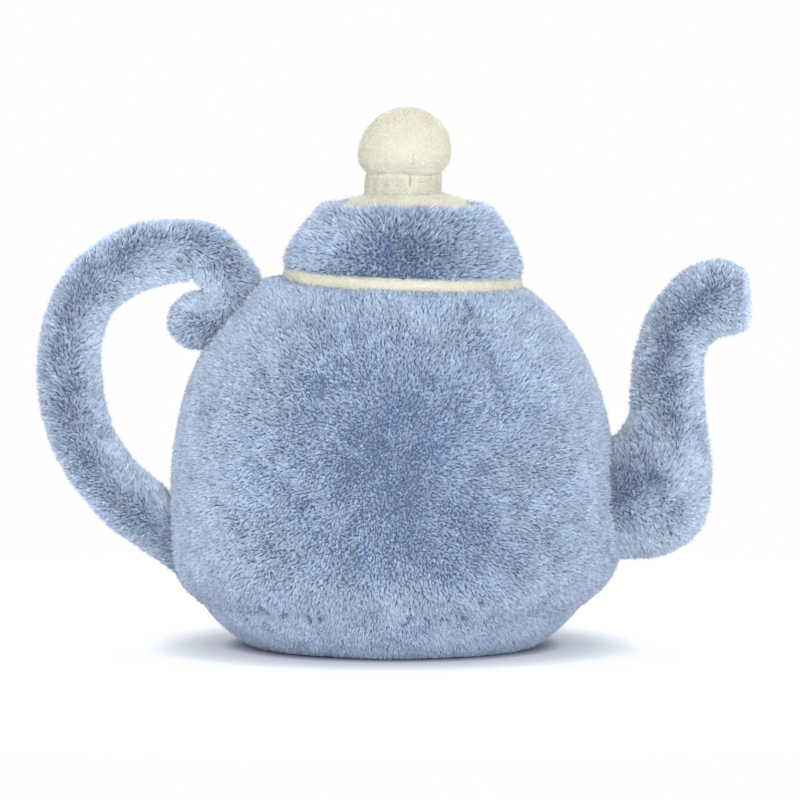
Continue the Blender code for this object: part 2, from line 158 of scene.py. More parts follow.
def pile_material(name, stops, palest, darkest, roughness, sheen):
    material, start = new_material(name)
    place = start.node("ShaderNodeUVMap", {"uv_map": PILE_MAP})
    across = start.node("ShaderNodeSeparateXYZ", (), {0: place}, "X") * (1 / MAP_CORNER)
    up = start.node("ShaderNodeSeparateXYZ", (), {0: place}, "Y") * (1 / MAP_CORNER)
    fibre = start.node("ShaderNodeValToRGB", {"stops": stops}, {0: up})
    level = across * (palest - darkest) + darkest
    tint = start.node("ShaderNodeCombineColor", (), {0: level, 1: level, 2: level})
    mix = {"data_type": "RGBA", "blend_type": "MULTIPLY"}
    layers = {MIX_SHARE: 1.0, MIX_FIRST: fibre, MIX_SECOND: tint}
    colour = start.node("ShaderNodeMix", mix, layers, MIX_RESULT)
    shader = {
        "Base Color": colour,
        "Roughness": roughness,
        "Specular IOR Level": 0.2,
        "Sheen Weight": sheen,
        "Sheen Roughness": 0.5,
    }
    cloth = start.node("ShaderNodeBsdfPrincipled", (), shader)
    start.node("ShaderNodeOutputMaterial", (), {0: cloth})
    return material


BLUE_STOPS = (
    (0.0, linear(113, 133, 171)),
    (0.35, linear(175, 193, 224)),
    (0.7, linear(210, 223, 243)),
    (1.0, linear(234, 241, 250)),
)
CREAM_STOPS = (
    (0.0, linear(245, 240, 222)),
    (0.5, linear(249, 244, 229)),
    (1.0, linear(253, 249, 239)),
)
BLUE_PLUSH = pile_material("blue plush", BLUE_STOPS, palest=1.22, darkest=0.78, roughness=0.9, sheen=0.3)
CREAM_VELOUR = pile_material(
    "cream velour", CREAM_STOPS, palest=1.04, darkest=0.92, roughness=0.85, sheen=0.3
)
print("pile materials:", BLUE_PLUSH.name, CREAM_VELOUR.name)

# %% [markdown]
# ## Repeatable noise
# Cloth is never quite regular. A lattice of hashed numbers, blended smoothly, gives the same gentle lumps on
# every run, which plain random numbers per point would not.

# %% Noise over space
TINY, SMALL = 1e-9, 1e-6


def hashed(cells, seed):
    """A repeatable number from 0 to 1 for each whole-numbered cell. The primes only scramble its bits."""
    n = cells[..., 0] * 374761393 + cells[..., 1] * 668265263 + cells[..., 2] * 1440662683 + seed * 974711
    n = (n ^ (n >> 13)) * 1274126177
    n = (n ^ (n >> 16)) * 668265263
    return ((n >> 8) & 0xFFFFFF) / 0xFFFFFF


def drift(points, size, seed):
    """Smooth noise from -1 to 1, with lumps of this size in millimetres."""
    at = points / size
    cell = np.floor(at).astype(np.int64)
    part = at - cell
    part = part * part * (3 - 2 * part)
    total = np.zeros(points.shape[:-1])
    for corner in itertools.product((0, 1), repeat=3):
        weight = np.prod(np.where(corner, part, 1 - part), axis=-1)
        total += weight * hashed(cell + np.array(corner), seed)
    return 2 * total - 1


def drift3(points, size, seed):
    return np.stack([drift(points, size, seed + k) for k in range(3)], axis=-1)


def hashed3(cells, seed):
    return np.stack([hashed(cells, seed + k) for k in range(3)], axis=-1)


def lumps(points, layers, noise=drift):
    """Layers of noise added up. Each has its height, the size of its lumps in millimetres and its seed."""
    return sum(height * noise(points, size, seed) for height, size, seed in layers)


def ring_lumps(angles, radius, size, seed):
    """Noise round a ring of this radius, the same at every height."""
    ring = np.stack([np.cos(angles), np.sin(angles), 0 * angles], axis=-1)
    return drift(ring * radius, size, seed)


def unit(vectors):
    return vectors / np.maximum(np.linalg.norm(vectors, axis=-1, keepdims=True), TINY)


def ease(share):
    share = np.clip(share, 0, 1)
    return share * share * (3 - 2 * share)


def hump(distance, height, spread):
    """A smooth hump: its full height at no distance, and hardly any at twice its spread."""
    return height * np.exp(-((distance / spread) ** 2))


def along_cloth(vectors, normal):
    """What is left of the vectors when they are laid flat on the cloth."""
    return vectors - normal * (vectors * normal).sum(axis=-1, keepdims=True)


print("noise sample:", np.round(drift(np.array([[1.0, 2.0, 3.0]]), 5.0, 1), 3))

# %% [markdown]
# ## A skin is a grid
# Every cut panel becomes a grid of points in millimetres, row by row along the piece and column by column
# round it. With each point goes its distance to the nearest of its sewn edges, pucker pits, creases and
# joins with the body, because pile is short and parted there, and painted darker there as shade.


# %% Skins
class Skin:
    """A grid of points, rows along and columns round. A ring joins its last column to its first.

    An open grid may keep only the faces whose four corners are all marked in keep.
    """

    def __init__(self, points, away, ring=False, keep=None, comb=None):
        self.points = points
        self.away = np.broadcast_to(away, points.shape[:2])
        self.ring = ring
        self.keep = keep
        self.comb = np.zeros(points.shape) if comb is None else comb
        self.notches = ()

    def around(self, values):
        if self.ring:
            return (np.roll(values, -1, 1) - np.roll(values, 1, 1)) / 2
        return np.gradient(values, axis=1)

    def normals(self):
        return unit(np.cross(np.gradient(self.points, axis=0), self.around(self.points)))

    def pressed(self, depth):
        """The points, pressed into the cloth by these depths."""
        return self.points - self.normals() * depth[..., None]

    def from_edge(self):
        """The direction along the cloth that leads away from the nearest sewn edge."""
        down = np.gradient(self.points, axis=0)
        round_it = self.around(self.points)
        steep_down = np.gradient(self.away, axis=0)[..., None]
        steep_round = self.around(self.away)[..., None]
        length_down = np.maximum((down**2).sum(-1, keepdims=True), SMALL)
        length_round = np.maximum((round_it**2).sum(-1, keepdims=True), SMALL)
        return down * steep_down / length_down + round_it * steep_round / length_round

    def quads(self):
        rows, columns = self.points.shape[:2]
        index = np.arange(rows * columns).reshape(rows, columns)
        if self.ring:
            index = np.concatenate([index, index[:, :1]], axis=1)
        corners = (index[:-1, :-1], index[1:, :-1], index[1:, 1:], index[:-1, 1:])
        faces = np.stack(corners, axis=-1)
        if self.keep is not None:
            kept = self.keep
            return faces[kept[:-1, :-1] & kept[1:, :-1] & kept[1:, 1:] & kept[:-1, 1:]]
        return faces.reshape(-1, 4)


def finer(skin):
    """The skin with a point between each two, on smooth curves through its points."""

    def doubled(values, wraps):
        if wraps:
            before, after, later = np.roll(values, 1, 0), np.roll(values, -1, 0), np.roll(values, -2, 0)
            middle = (9 * (values + after) - before - later) / 16
            return np.stack([values, middle], axis=1).reshape(-1, *values.shape[1:])
        padded = np.concatenate([2 * values[:1] - values[1:2], values, 2 * values[-1:] - values[-2:-1]])
        middle = (9 * (padded[1:-2] + padded[2:-1]) - padded[:-3] - padded[3:]) / 16
        woven = np.stack([values[:-1], middle], axis=1).reshape(-1, *values.shape[1:])
        return np.concatenate([woven, values[-1:]])

    def both_ways(values):
        along = doubled(values, False)
        return np.swapaxes(doubled(np.swapaxes(along, 0, 1), skin.ring), 0, 1)

    return Skin(both_ways(skin.points), 0.0, skin.ring)


print("skins ready")

# %% [markdown]
# ## Pile
# Plush could be faked with a bumpy texture, but its edge against the light would stay a clean line. Here
# each tuft of fibres is a real sliver of one face, rooted in the skin and widest past its middle. Slivers
# lean, each its own way, part at the seams, and their tips gather into the small locks that make plush look
# soft. A notch is a short parting between locks, and a few loose tufts are longer, thinner and paler. Tufts
# near seams and in notches are also coloured darker, a painted shade, and the loose tufts' paleness is a
# painted rim light, which shows most at the outline.

# %% Kinds of pile
# Sizes are in millimetres, and the density is in tufts to a square millimetre.
Pile = namedtuple("Pile", "length width density lean stray lock pull part root")
# Root sets where a fibre's painted root shade starts on the ramp from root to tip: the higher, the paler.
# The tubes' paler roots are a painted light on their middles.
BODY_PILE = Pile(2.6, 0.38, density=10.5, lean=0.42, stray=0.16, lock=0.90, pull=0.68, part=3.0, root=0.18)
BASE_PILE = Pile(2.0, 0.36, density=9.0, lean=0.40, stray=0.16, lock=0.95, pull=0.45, part=3.0, root=0.20)
LONG_PILE = Pile(3.9, 0.38, density=11.0, lean=0.50, stray=0.16, lock=1.05, pull=0.65, part=3.0, root=0.10)
TUBE_PILE = Pile(3.4, 0.44, density=13.0, lean=0.55, stray=0.18, lock=1.00, pull=0.62, part=3.0, root=0.46)
# The spout's end starts paler still, a painted light, its rim glowing as if lit from behind.
TIP_PILE = LONG_PILE._replace(root=0.60)
NAP = Pile(0.7, 0.26, density=16.0, lean=1.0, stray=0.25, lock=0.6, pull=0.2, part=1.2, root=0.0)
print("piles from", NAP.length, "to", LONG_PILE.length, "mm long")

# %% Where tufts stand
GOLDEN = (0.7548776662, 0.5698402910)
SPOT_SEED = 1


def scattered(points, faces, density):
    """Evenly spread places on the faces: three corners and their weights for each place."""
    triangles = np.concatenate([faces[:, [0, 1, 2]], faces[:, [0, 2, 3]]])
    a, b, c = (points[triangles[:, k]] for k in range(3))
    area = np.linalg.norm(np.cross(b - a, c - a), axis=1) / 2
    reached = np.floor(np.cumsum(area * density) + 0.5).astype(int)
    counts = np.diff(np.concatenate([[0], reached]))
    owner = np.repeat(np.arange(len(triangles)), counts)
    step = np.arange(len(owner))
    first = (0.5 + step * GOLDEN[0]) % 1
    second = (0.5 + step * GOLDEN[1]) % 1
    over = first + second > 1
    first, second = np.where(over, 1 - first, first), np.where(over, 1 - second, second)
    weights = np.stack([1 - first - second, first, second], axis=1)
    return triangles[owner], weights


def lock_cells(at):
    """The cell of the nearest of some loosely scattered points, one to each unit of space."""
    base = np.floor(at - 0.5).astype(np.int64)
    best = np.full(len(at), np.inf)
    chosen = base.copy()
    for corner in itertools.product((0, 1), repeat=3):
        cell = base + np.array(corner)
        spot = cell + hashed3(cell, SPOT_SEED)
        gap = ((spot - at) ** 2).sum(axis=1)
        nearer = gap < best
        best = np.where(nearer, gap, best)
        chosen = np.where(nearer[:, None], cell, chosen)
    return chosen


def off_line(points, x0, z0, x1, z1):
    """The way to each point, seen from the back, from the nearest place on a straight line."""
    run = np.array((x1 - x0, z1 - z0))
    off = points[..., [0, 2]] - (x0, z0)
    return off - np.clip(off @ run / (run @ run), 0, 1)[..., None] * run


def parted_at(notches, roots):
    """How near each root lies to a notch, from 0 to 1, and the way that leads off it."""
    near = np.zeros(len(roots))
    push = np.zeros(roots.shape)
    for *ends, size in notches:
        off = off_line(roots, *ends)
        share = np.exp(-((off**2).sum(axis=1) / size**2))
        push[:, [0, 2]] += off / size * share[:, None]
        near = np.maximum(near, share)
    return near, push


print("places for tufts ready")

# %% Tufts
WAIST = 0.6
BOW = 0.08
TWIST = 0.35
ROOT_DEPTH = 0.3
SHORTEST, LONGEST = 0.72, 1.12
NARROWEST, WIDEST = 0.7, 1.3
LEAN_LUMPS = ((0.2, 24.0, 200), (0.7, 7.0, 205))
TOUSLE, TOUSLE_SEED = 1.15, 11
UNEVEN, UNEVEN_SEED = 0.4, 14
# Painted shade: tufts near sewn edges, pucker pits, creases and joins, and in notches, are coloured darker.
# Painted light: loose tufts are coloured paler, a rim light along the outline.
EDGE_LEAN, EDGE_SHORT, EDGE_PAINTED_SHADE = 0.5, 0.3, 0.2
NOTCH_LEAN, NOTCH_SHORT, NOTCH_PAINTED_SHADE = 1.6, 0.75, 0.8
LOOSE, LOOSE_LONG, LOOSE_THIN, LOOSE_PAINTED_RIM = 0.12, 1.3, 0.45, 0.3
SHADE_LUMPS = ((0.06, 22.0, 220), (0.16, 6.0, 221))
SHADE_MIDDLE, SHADE_STRAY = 0.5, 0.16
LOCK_SHADE, LOCK_SHADE_SEED = 0.8, 222


def grow(skin, pile, seed, floor=None, pale=0.0):
    """The tufts on a skin: three corner points for each, and how pale it is."""
    rng = np.random.default_rng(seed)
    points = skin.points.reshape(-1, 3)
    corners, weights = scattered(points, skin.quads(), pile.density)

    def at(values):
        return np.einsum("nk,nk...->n...", weights, values.reshape(len(points), -1)[corners])

    roots = at(skin.points)
    normal = unit(at(skin.normals()))
    count = len(roots)
    near_edge = hump(at(skin.away), 1, pile.part)
    near_notch, push = parted_at(skin.notches, roots)
    cells = lock_cells(roots / pile.lock)
    _, lock = np.unique(cells, axis=0, return_inverse=True)
    lock = lock.reshape(-1)

    lean = lumps(roots, LEAN_LUMPS, drift3) * pile.lean
    lean += rng.normal(0, pile.stray, (count, 3))
    lean += at(skin.comb)
    lean += at(skin.from_edge()) * near_edge * EDGE_LEAN
    lean += (hashed3(cells, TOUSLE_SEED) - 0.5) * (TOUSLE * pile.pull)
    lean += push * NOTCH_LEAN
    way = unit(normal + along_cloth(lean, normal))
    near_edge = near_edge[:, 0]
    loose = rng.random(count) < LOOSE
    length = pile.length * rng.uniform(SHORTEST, LONGEST, count) * (1 - EDGE_SHORT * near_edge)
    length *= 1 + UNEVEN * pile.pull * (hashed(cells, UNEVEN_SEED) - 0.5)
    length *= 1 - NOTCH_SHORT * near_notch
    length = np.where(loose, LOOSE_LONG * length, length)
    tips = roots + way * length[:, None]

    tally = np.bincount(lock)
    middle = np.stack([np.bincount(lock, tips[:, k]) / tally for k in range(3)], axis=1)
    toward = (middle[lock] - tips) * np.where(loose, 0, pile.pull)[:, None]
    tips = tips + along_cloth(toward, normal)

    shade = SHADE_MIDDLE + pale + lumps(roots, SHADE_LUMPS)
    shade += rng.normal(0, SHADE_STRAY, count) + (hashed(cells, LOCK_SHADE_SEED) - 0.5) * LOCK_SHADE
    # painted rim light on loose tufts, painted shade near edges and in notches
    shade += LOOSE_PAINTED_RIM * loose - EDGE_PAINTED_SHADE * near_edge - NOTCH_PAINTED_SHADE * near_notch
    shade = np.clip(shade, 0, 1)

    side = unit(np.cross(tips - roots, normal) + rng.normal(0, TWIST, (count, 3)) * length[:, None])
    width = pile.width * rng.uniform(NARROWEST, WIDEST, count) * np.where(loose, LOOSE_THIN, 1)
    waist = roots + (tips - roots) * WAIST + normal * (BOW * length[:, None])
    tufts = np.stack([roots - normal * ROOT_DEPTH, waist + side * width[:, None], tips], axis=1)
    if floor is not None:
        tufts[..., 2] = np.maximum(tufts[..., 2], floor)
    return tufts, shade


print("tufts ready")

# %% Pieces of cloth
SHADE_STEPS = 64


def cloth_piece(name, skin, pile, material, seed, floor=None, pale=0.0):
    """One object from a skin and the pile that grows on it."""
    tufts, shade = grow(skin, pile, seed, floor, pale)
    points = skin.points.reshape(-1, 3)
    quads = skin.quads()
    slivers = len(points) + np.arange(3 * len(tufts))

    mesh = bpy.data.meshes.new(name)
    corners = np.concatenate([quads.ravel(), slivers])
    sizes = np.concatenate([np.full(len(quads), 4), np.full(len(tufts), 3)])
    mesh.vertices.add(len(points) + 3 * len(tufts))
    mesh.loops.add(len(corners))
    mesh.polygons.add(len(sizes))
    mesh.vertices.foreach_set("co", np.concatenate([points, tufts.reshape(-1, 3)]).ravel() * MM)
    mesh.loops.foreach_set("vertex_index", corners)
    mesh.polygons.foreach_set("loop_start", np.concatenate([[0], np.cumsum(sizes)[:-1]]))
    mesh.polygons.foreach_set("use_smooth", np.ones(len(sizes), bool))

    step = MAP_CORNER / SHADE_STEPS
    column = np.floor(shade * (SHADE_STEPS - 1)) * step
    skin_map = np.array([(0, 0), (step, 0), (step, step), (0, step)]) + (MAP_CORNER / 2, 0)
    waist = pile.root + (1 - pile.root) * WAIST
    sliver_map = np.array([(0, pile.root), (1, waist), (0, 1)]) * (step, MAP_CORNER)
    tuft_map = sliver_map + column[:, None, None] * np.array((1, 0))
    maps = np.concatenate([np.tile(skin_map, (len(quads), 1)), tuft_map.reshape(-1, 2)])
    mesh.uv_layers.new(name=PILE_MAP).data.foreach_set("uv", maps.ravel())
    mesh.update()
    mesh.validate()
    mesh.materials.append(material)
    obj = bpy.data.objects.new(name, mesh)
    bpy.context.scene.collection.objects.link(obj)
    print(name, "has", len(tufts), "tufts and", len(sizes), "faces")
    return obj


def settle(obj, node):
    """The piece rides on the toy and stands for its solid, which is hidden."""
    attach(obj, "root")
    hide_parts(node)


print("pieces ready")

# %% [markdown]
# ## The body's outline
# The body is turned: a round belly, a domed shoulder up to the neck, and a foot that tucks in to the base
# seam. The skin lies under the solid's outer face, so that the tips of the pile reach just past it.

# %% Turned lines
BELLY_RADIUS = 88.2
BELLY_HEIGHT = 48.0
NECK_RADIUS = 44.9
NECK_HEIGHT = 147.6
SHOULDER_POWER = 2.77
BASE_SEAM_RADIUS = 78.4
BASE_SEAM_HEIGHT = 20.4
FOOT_POWER = 3.4
BASE_FLAT_RADIUS = 51.0
BASE_BEND = 9.0
BODY_SEAMS = (0, 59, 110, 180, 250, 301)
BODY_NAMES = (
    "front_spout_side", "front", "front_handle_side", "back_handle_side", "back", "back_spout_side",
)
NECK_TUCK = 7.0
NECK_SLOPE = 0.5
BODY_DEPTH = 1.1
LONG_DEPTH = 1.6
TUCK_STEPS, SIDE_STEPS, FLAT_STEPS = 20, 400, 12
BASE_HOLE = 2.0


def body_radius(height):
    """How far the body's outside stands from its axis at these heights."""
    height = np.asarray(height, float)
    reach = np.clip((height - BELLY_HEIGHT) / (NECK_HEIGHT - BELLY_HEIGHT), 0, 1)
    closing = 1 - (NECK_RADIUS / BELLY_RADIUS) ** 2
    above = BELLY_RADIUS * np.sqrt(1 - closing * reach**SHOULDER_POWER)
    drop = np.clip((BELLY_HEIGHT - height) / (BELLY_HEIGHT - BASE_SEAM_HEIGHT), 0, None)
    below = BELLY_RADIUS - (BELLY_RADIUS - BASE_SEAM_RADIUS) * drop**FOOT_POWER
    return np.where(height >= BELLY_HEIGHT, above, below)


def inset(line, depth):
    """A (radius, height) line that runs down the outside, moved inwards square to itself."""
    along = unit(np.gradient(line, axis=0))
    return line + depth * np.stack([along[:, 1], -along[:, 0]], axis=1)


def evenly(line, step):
    """Points on a line about this far apart, and the length from its start to each."""
    lengths = np.concatenate([[0], np.cumsum(np.linalg.norm(np.diff(line, axis=0), axis=1))])
    count = max(2, round(lengths[-1] / step) + 1)
    at = np.linspace(0, lengths[-1], count)
    return np.stack([np.interp(at, lengths, line[:, k]) for k in range(line.shape[1])], axis=1), at


def bent(start, corner, end, count=24):
    """A round bend from start to end, whose sides point at the corner."""
    t = np.linspace(0, 1, count)[:, None]
    start, corner, end = (np.array(point, float) for point in (start, corner, end))
    return (1 - t) ** 2 * start + 2 * t * (1 - t) * corner + t**2 * end


def turned(line, angles):
    """A (radius, height) line turned about the upright axis to these angles."""
    radius, height = line[:, :1], line[:, 1:]
    flat = np.stack([radius * np.cos(angles), radius * np.sin(angles)], axis=-1)
    tall = np.broadcast_to(height, flat.shape[:2])[..., None]
    return np.concatenate([flat, tall], axis=-1)


tuck = np.linspace(NECK_TUCK, 0, TUCK_STEPS, endpoint=False)
neck_line = np.stack([NECK_RADIUS - tuck, NECK_HEIGHT + tuck * NECK_SLOPE], axis=1)
side_heights = np.linspace(NECK_HEIGHT, BASE_SEAM_HEIGHT, SIDE_STEPS)
side_line = np.stack([body_radius(side_heights), side_heights], axis=1)
side_line = np.concatenate([neck_line, side_line])
base_bend = bent(side_line[-1], (BASE_FLAT_RADIUS + BASE_BEND, 0), (BASE_FLAT_RADIUS, 0))
flat_radius = np.linspace(BASE_FLAT_RADIUS, BASE_HOLE, FLAT_STEPS)
base_flat = np.stack([flat_radius, np.zeros(FLAT_STEPS)], axis=1)
print("body line from", np.round(side_line[0], 1), "to", np.round(side_line[-1], 1))

# %% [markdown]
# ## Stuffing the body
# On the bench the six panels and the base are sewn into a bag and stuffed until the cloth swells between the
# seams. A cloth simulation does the same: the sewn lines are pinned, pressure pushes the rest out, and how
# far a point may move is capped, so that the toy keeps its size.

# %% Body skin and its simulation
CLOTH_STEP = 4.6
SWELL_CAP = 1.2
START_SMALL = 0.3
SIM_FRAMES = 20
PRESSURE = 4
CLOTH_QUALITY = 5


def seam_columns():
    """Angles of the body grid's columns, with one on each upright seam, and the seams' column numbers."""
    angles, marks = [], []
    ends = BODY_SEAMS[1:] + (BODY_SEAMS[0] + 360,)
    for start, end in zip(BODY_SEAMS, ends):
        marks.append(len(angles))
        count = round(math.radians(end - start) * BELLY_RADIUS / CLOTH_STEP)
        angles += list(np.radians(np.linspace(start, end, count, endpoint=False)))
    return np.array(angles), marks


def swollen(name, skin, pinned, cap):
    """The skin's points after its stuffing has pressed it out from inside, with the pinned ones held."""
    mesh = bpy.data.meshes.new(name)
    points = skin.points.reshape(-1, 3)
    mesh.from_pydata((points * MM).tolist(), [], skin.quads().tolist())
    obj = bpy.data.objects.new(name, mesh)
    bpy.context.scene.collection.objects.link(obj)
    group = obj.vertex_groups.new(name="sewn")
    group.add(np.flatnonzero(pinned.reshape(-1)).tolist(), 1.0, "REPLACE")
    cloth = obj.modifiers.new("stuffing", "CLOTH")
    cloth.settings.vertex_group_mass = group.name
    cloth.settings.use_pressure = True
    cloth.settings.uniform_pressure_force = PRESSURE
    cloth.settings.effector_weights.gravity = 0
    cloth.settings.quality = CLOTH_QUALITY
    cloth.collision_settings.use_collision = False
    cloth.point_cache.frame_end = SIM_FRAMES
    for number in range(1, SIM_FRAMES + 1):
        bpy.context.scene.frame_set(number)
    shaped = obj.evaluated_get(bpy.context.evaluated_depsgraph_get()).data
    moved = np.empty(len(points) * 3)
    shaped.vertices.foreach_get("co", moved)
    bpy.data.objects.remove(obj)
    bpy.data.meshes.remove(mesh)
    bpy.context.scene.frame_set(1)
    shift = moved.reshape(-1, 3) / MM - points
    far = np.linalg.norm(shift, axis=1, keepdims=True)
    shift *= np.minimum(1, cap / np.maximum(far, TINY))
    print(name, "swelled by up to", round(float(far.max()), 2), "mm, kept to", cap)
    return (points + shift).reshape(skin.points.shape)


angles, seam_marks = seam_columns()
side_rows = evenly(inset(side_line, BODY_DEPTH + START_SMALL), CLOTH_STEP)[0]
bend_rows = evenly(inset(base_bend, BODY_DEPTH + START_SMALL), CLOTH_STEP)[0]
flat_rows = evenly(inset(base_flat, BODY_DEPTH), CLOTH_STEP)[0]
body_rows = np.concatenate([side_rows, bend_rows[1:], flat_rows[1:]])
base_row = len(side_rows)
flat_row = base_row + len(bend_rows) - 2
bag = Skin(turned(body_rows, angles), 0.0, ring=True)
sewn = np.zeros(bag.points.shape[:2], bool)
sewn[: base_row + 1, seam_marks] = True
sewn[[0, base_row]] = True
sewn[flat_row:] = True

bag.points = swollen("body bag", bag, sewn, SWELL_CAP)
print("body grid:", bag.points.shape)

# %% [markdown]
# ## Seams, puckers and panels
# A seam draws the cloth in to a line, and the stitches pucker it here and there. The simulation's grid is
# too coarse for that, so the grid is made twice as fine first, and the puckers are pressed in along the
# normals. The pile has been stroked outwards from the middle of the back, and the comb makes it lean so.

# %% Where the cloth dips and parts
# A pucker is a seam's angle, a height, a depth and a spread. A notch is the two ends of a parting, as x and
# z, and its width. A groove is a depth and a spread. Lumps are a height, a size and a seed. The pulls and
# the fuller flank spread round the body by an angle, in radians.
PUCKERS = ((249.0, 107.0, 1.6, 6.5), (298.0, 100.5, 1.6, 6.5), (301.0, 118.0, 0.6, 6.0))
# Tufts in a notch are painted darker, a painted shade in the parting.
NOTCHES = (
    (30.0, 137.8, 30.4, 135.2, 1.2), (28.5, 139.6, 28.9, 138.9, 0.9), (27.6, 133.9, 28.0, 133.1, 0.9),
    (35.1, 123.3, 36.3, 121.7, 0.9), (37.4, 121.3, 39.0, 117.9, 1.1), (37.8, 115.7, 39.0, 114.5, 0.9),
    (39.4, 111.5, 41.7, 108.7, 1.1), (42.1, 107.6, 43.3, 106.0, 0.9), (33.4, 100.7, 33.8, 100.3, 1.2),
    (35.0, 102.2, 35.4, 102.1, 0.8), (38.1, 99.7, 39.3, 98.1, 1.1), (-28.2, 108.5, -27.8, 106.2, 1.2),
    (-30.2, 101.6, -29.8, 101.6, 0.8), (-27.4, 112.7, -27.0, 112.3, 0.9), (-21.5, 109.0, -19.9, 109.5, 0.9),
    (-17.2, 109.1, -16.4, 108.8, 0.9), (-14.4, 102.7, -13.7, 102.3, 0.9), (-19.6, 117.8, -18.8, 117.4, 0.8),
    (-31.8, 18.8, -31.5, 16.4, 0.9), (-27.5, 19.0, -28.3, 17.1, 0.9), (-51.2, 22.8, -48.1, 19.4, 0.8),
    (5.6, 16.3, 7.5, 20.5, 0.9), (28.0, 19.4, 28.4, 18.0, 1.1), (34.6, 26.2, 35.0, 24.5, 1.0),
    (12.6, 19.5, 14.2, 19.0, 0.7), (18.9, 18.9, 21.3, 18.8, 0.7), (-42.5, 20.8, -41.3, 19.5, 0.8),
)
BASE_GATHERS = 23
GATHER_SIZE, GATHER_SEED, GATHER_LEAST = 4.0, 3, 0.1
SEAM_GROOVE = (0.2, 3.2)
BASE_GROOVE = (0.3, 3.0)
GATHER_GROOVE = (1.6, 6.5)
NECK_GROOVE = (1.3, 9.0)
BODY_LUMPS = ((0.5, 26.0, 21), (0.25, 11.0, 22))
SPOUT_ANGLE, SCROLL_ANGLE = 0, 180
SPOUT_PULL, SPOUT_PULL_HEIGHT, SPOUT_PULL_TALL = (3.2, 0.4), 43, 17
SCROLL_PULL, SCROLL_PULL_DOWN, SCROLL_PULL_TALL = (2.2, 0.45), 15, 8
FLANK_FULL, FLANK_FROM, FLANK_TALL = (0.3, 0.8), 60, 20
BASE_SPREAD, SPREAD_FROM, SPREAD_TALL = 0.025, 5, 30
BODY_SLIP = 0.2
PIT_AWAY = 3
FAR_OFF = 99.0
print("puckers:", len(PUCKERS), "notches:", len(NOTCHES))

# %% Combing and the seams that show
HIDDEN = 12.0
OPEN_GAIN = 1.8
SEAM_SHOW, SEAM_NEAR = 0.45, 0.3
LEFT_SEAM, LEFT_SEAM_LEAST = 250, 0.25
LEFT_SEAM_SHOW, LEFT_SEAM_HEIGHT = (0.7, 12), 101
RIGHT_SEAM, RIGHT_SEAM_LEAST, RIGHT_SEAM_SHOW = 301, 0.3, 0.7
RIGHT_SEAM_FROM, RIGHT_SEAM_TALL = 82, 14
SIDE_OPEN_SIZE, SIDE_OPEN_SEED = 8.0, 23
BASE_OPEN_GAIN, BASE_OPEN_LEAST = 2.0, 0.2
COMB = 0.40
COMB_LEAST = 0.45
COMB_TALL = 1.2
COMB_MIDDLE = (-6.0, 0.0, 91.0)
COMB_REACH = 100.0
NECK_UNCOMBED = 10


def arc_to(angles_of_points, seam, radius):
    """How far round a circle of this radius the points lie from an upright seam, given in degrees."""
    turn = (angles_of_points - math.radians(seam) + math.pi) % (2 * math.pi) - math.pi
    return np.abs(turn) * radius


def spread_from(middle, places, stretch, normal):
    """The ways along the cloth that lead off the middle, and how far off it each place is."""
    outward = along_cloth((places - np.array(middle)) * np.array(stretch), normal)
    far = np.linalg.norm(outward, axis=-1, keepdims=True)
    return outward / np.maximum(far, SMALL), far


def combed(places, normal, stretch, middle, reach):
    """Leans that spread from the middle of back and front, and grow to full within this reach."""
    outward, far = spread_from(middle, places, stretch, normal)
    return outward * (COMB_LEAST + (1 - COMB_LEAST) * ease(far / reach)) * COMB


def seam_show(angle, height):
    """How much each place's upright seam shows through the pile, from 0 to 1."""
    show = np.full(angle.shape, SEAM_SHOW)
    near = arc_to(angle, LEFT_SEAM, 1.0) < SEAM_NEAR
    on_left = LEFT_SEAM_LEAST + hump(height - LEFT_SEAM_HEIGHT, *LEFT_SEAM_SHOW)
    show = np.where(near, on_left, show)
    near = arc_to(angle, RIGHT_SEAM, 1.0) < SEAM_NEAR
    on_right = RIGHT_SEAM_LEAST + RIGHT_SEAM_SHOW * ease((height - RIGHT_SEAM_FROM) / RIGHT_SEAM_TALL)
    return np.where(near, on_right, show)


print("seams that show on the back:", LEFT_SEAM, RIGHT_SEAM, "degrees")

# %% Press the seams in
body_fine = finer(bag)
points = body_fine.points
normals = body_fine.normals()
tall = points[..., 2]
round_angle = np.arctan2(points[..., 1], points[..., 0])
round_radius = np.hypot(points[..., 0], points[..., 1])
steps_down = np.linalg.norm(np.diff(points[:, 0], axis=0), axis=1)
down = np.concatenate([[0], np.cumsum(steps_down)])[:, None]
to_seam = np.min([arc_to(round_angle, seam, round_radius) for seam in BODY_SEAMS], axis=0)
to_base = np.abs(down - down[2 * base_row])
to_spout = arc_to(round_angle, SPOUT_ANGLE, 1.0)
to_scroll = arc_to(round_angle, SCROLL_ANGLE, 1.0)
gather = ring_lumps(round_angle, BASE_GATHERS, GATHER_SIZE, GATHER_SEED)

press = hump(to_seam, *SEAM_GROOVE) * (down < down[2 * base_row])
press += hump(to_base, *BASE_GROOVE)
press += np.clip(gather - GATHER_LEAST, 0, 1) * hump(to_base, *GATHER_GROOVE)
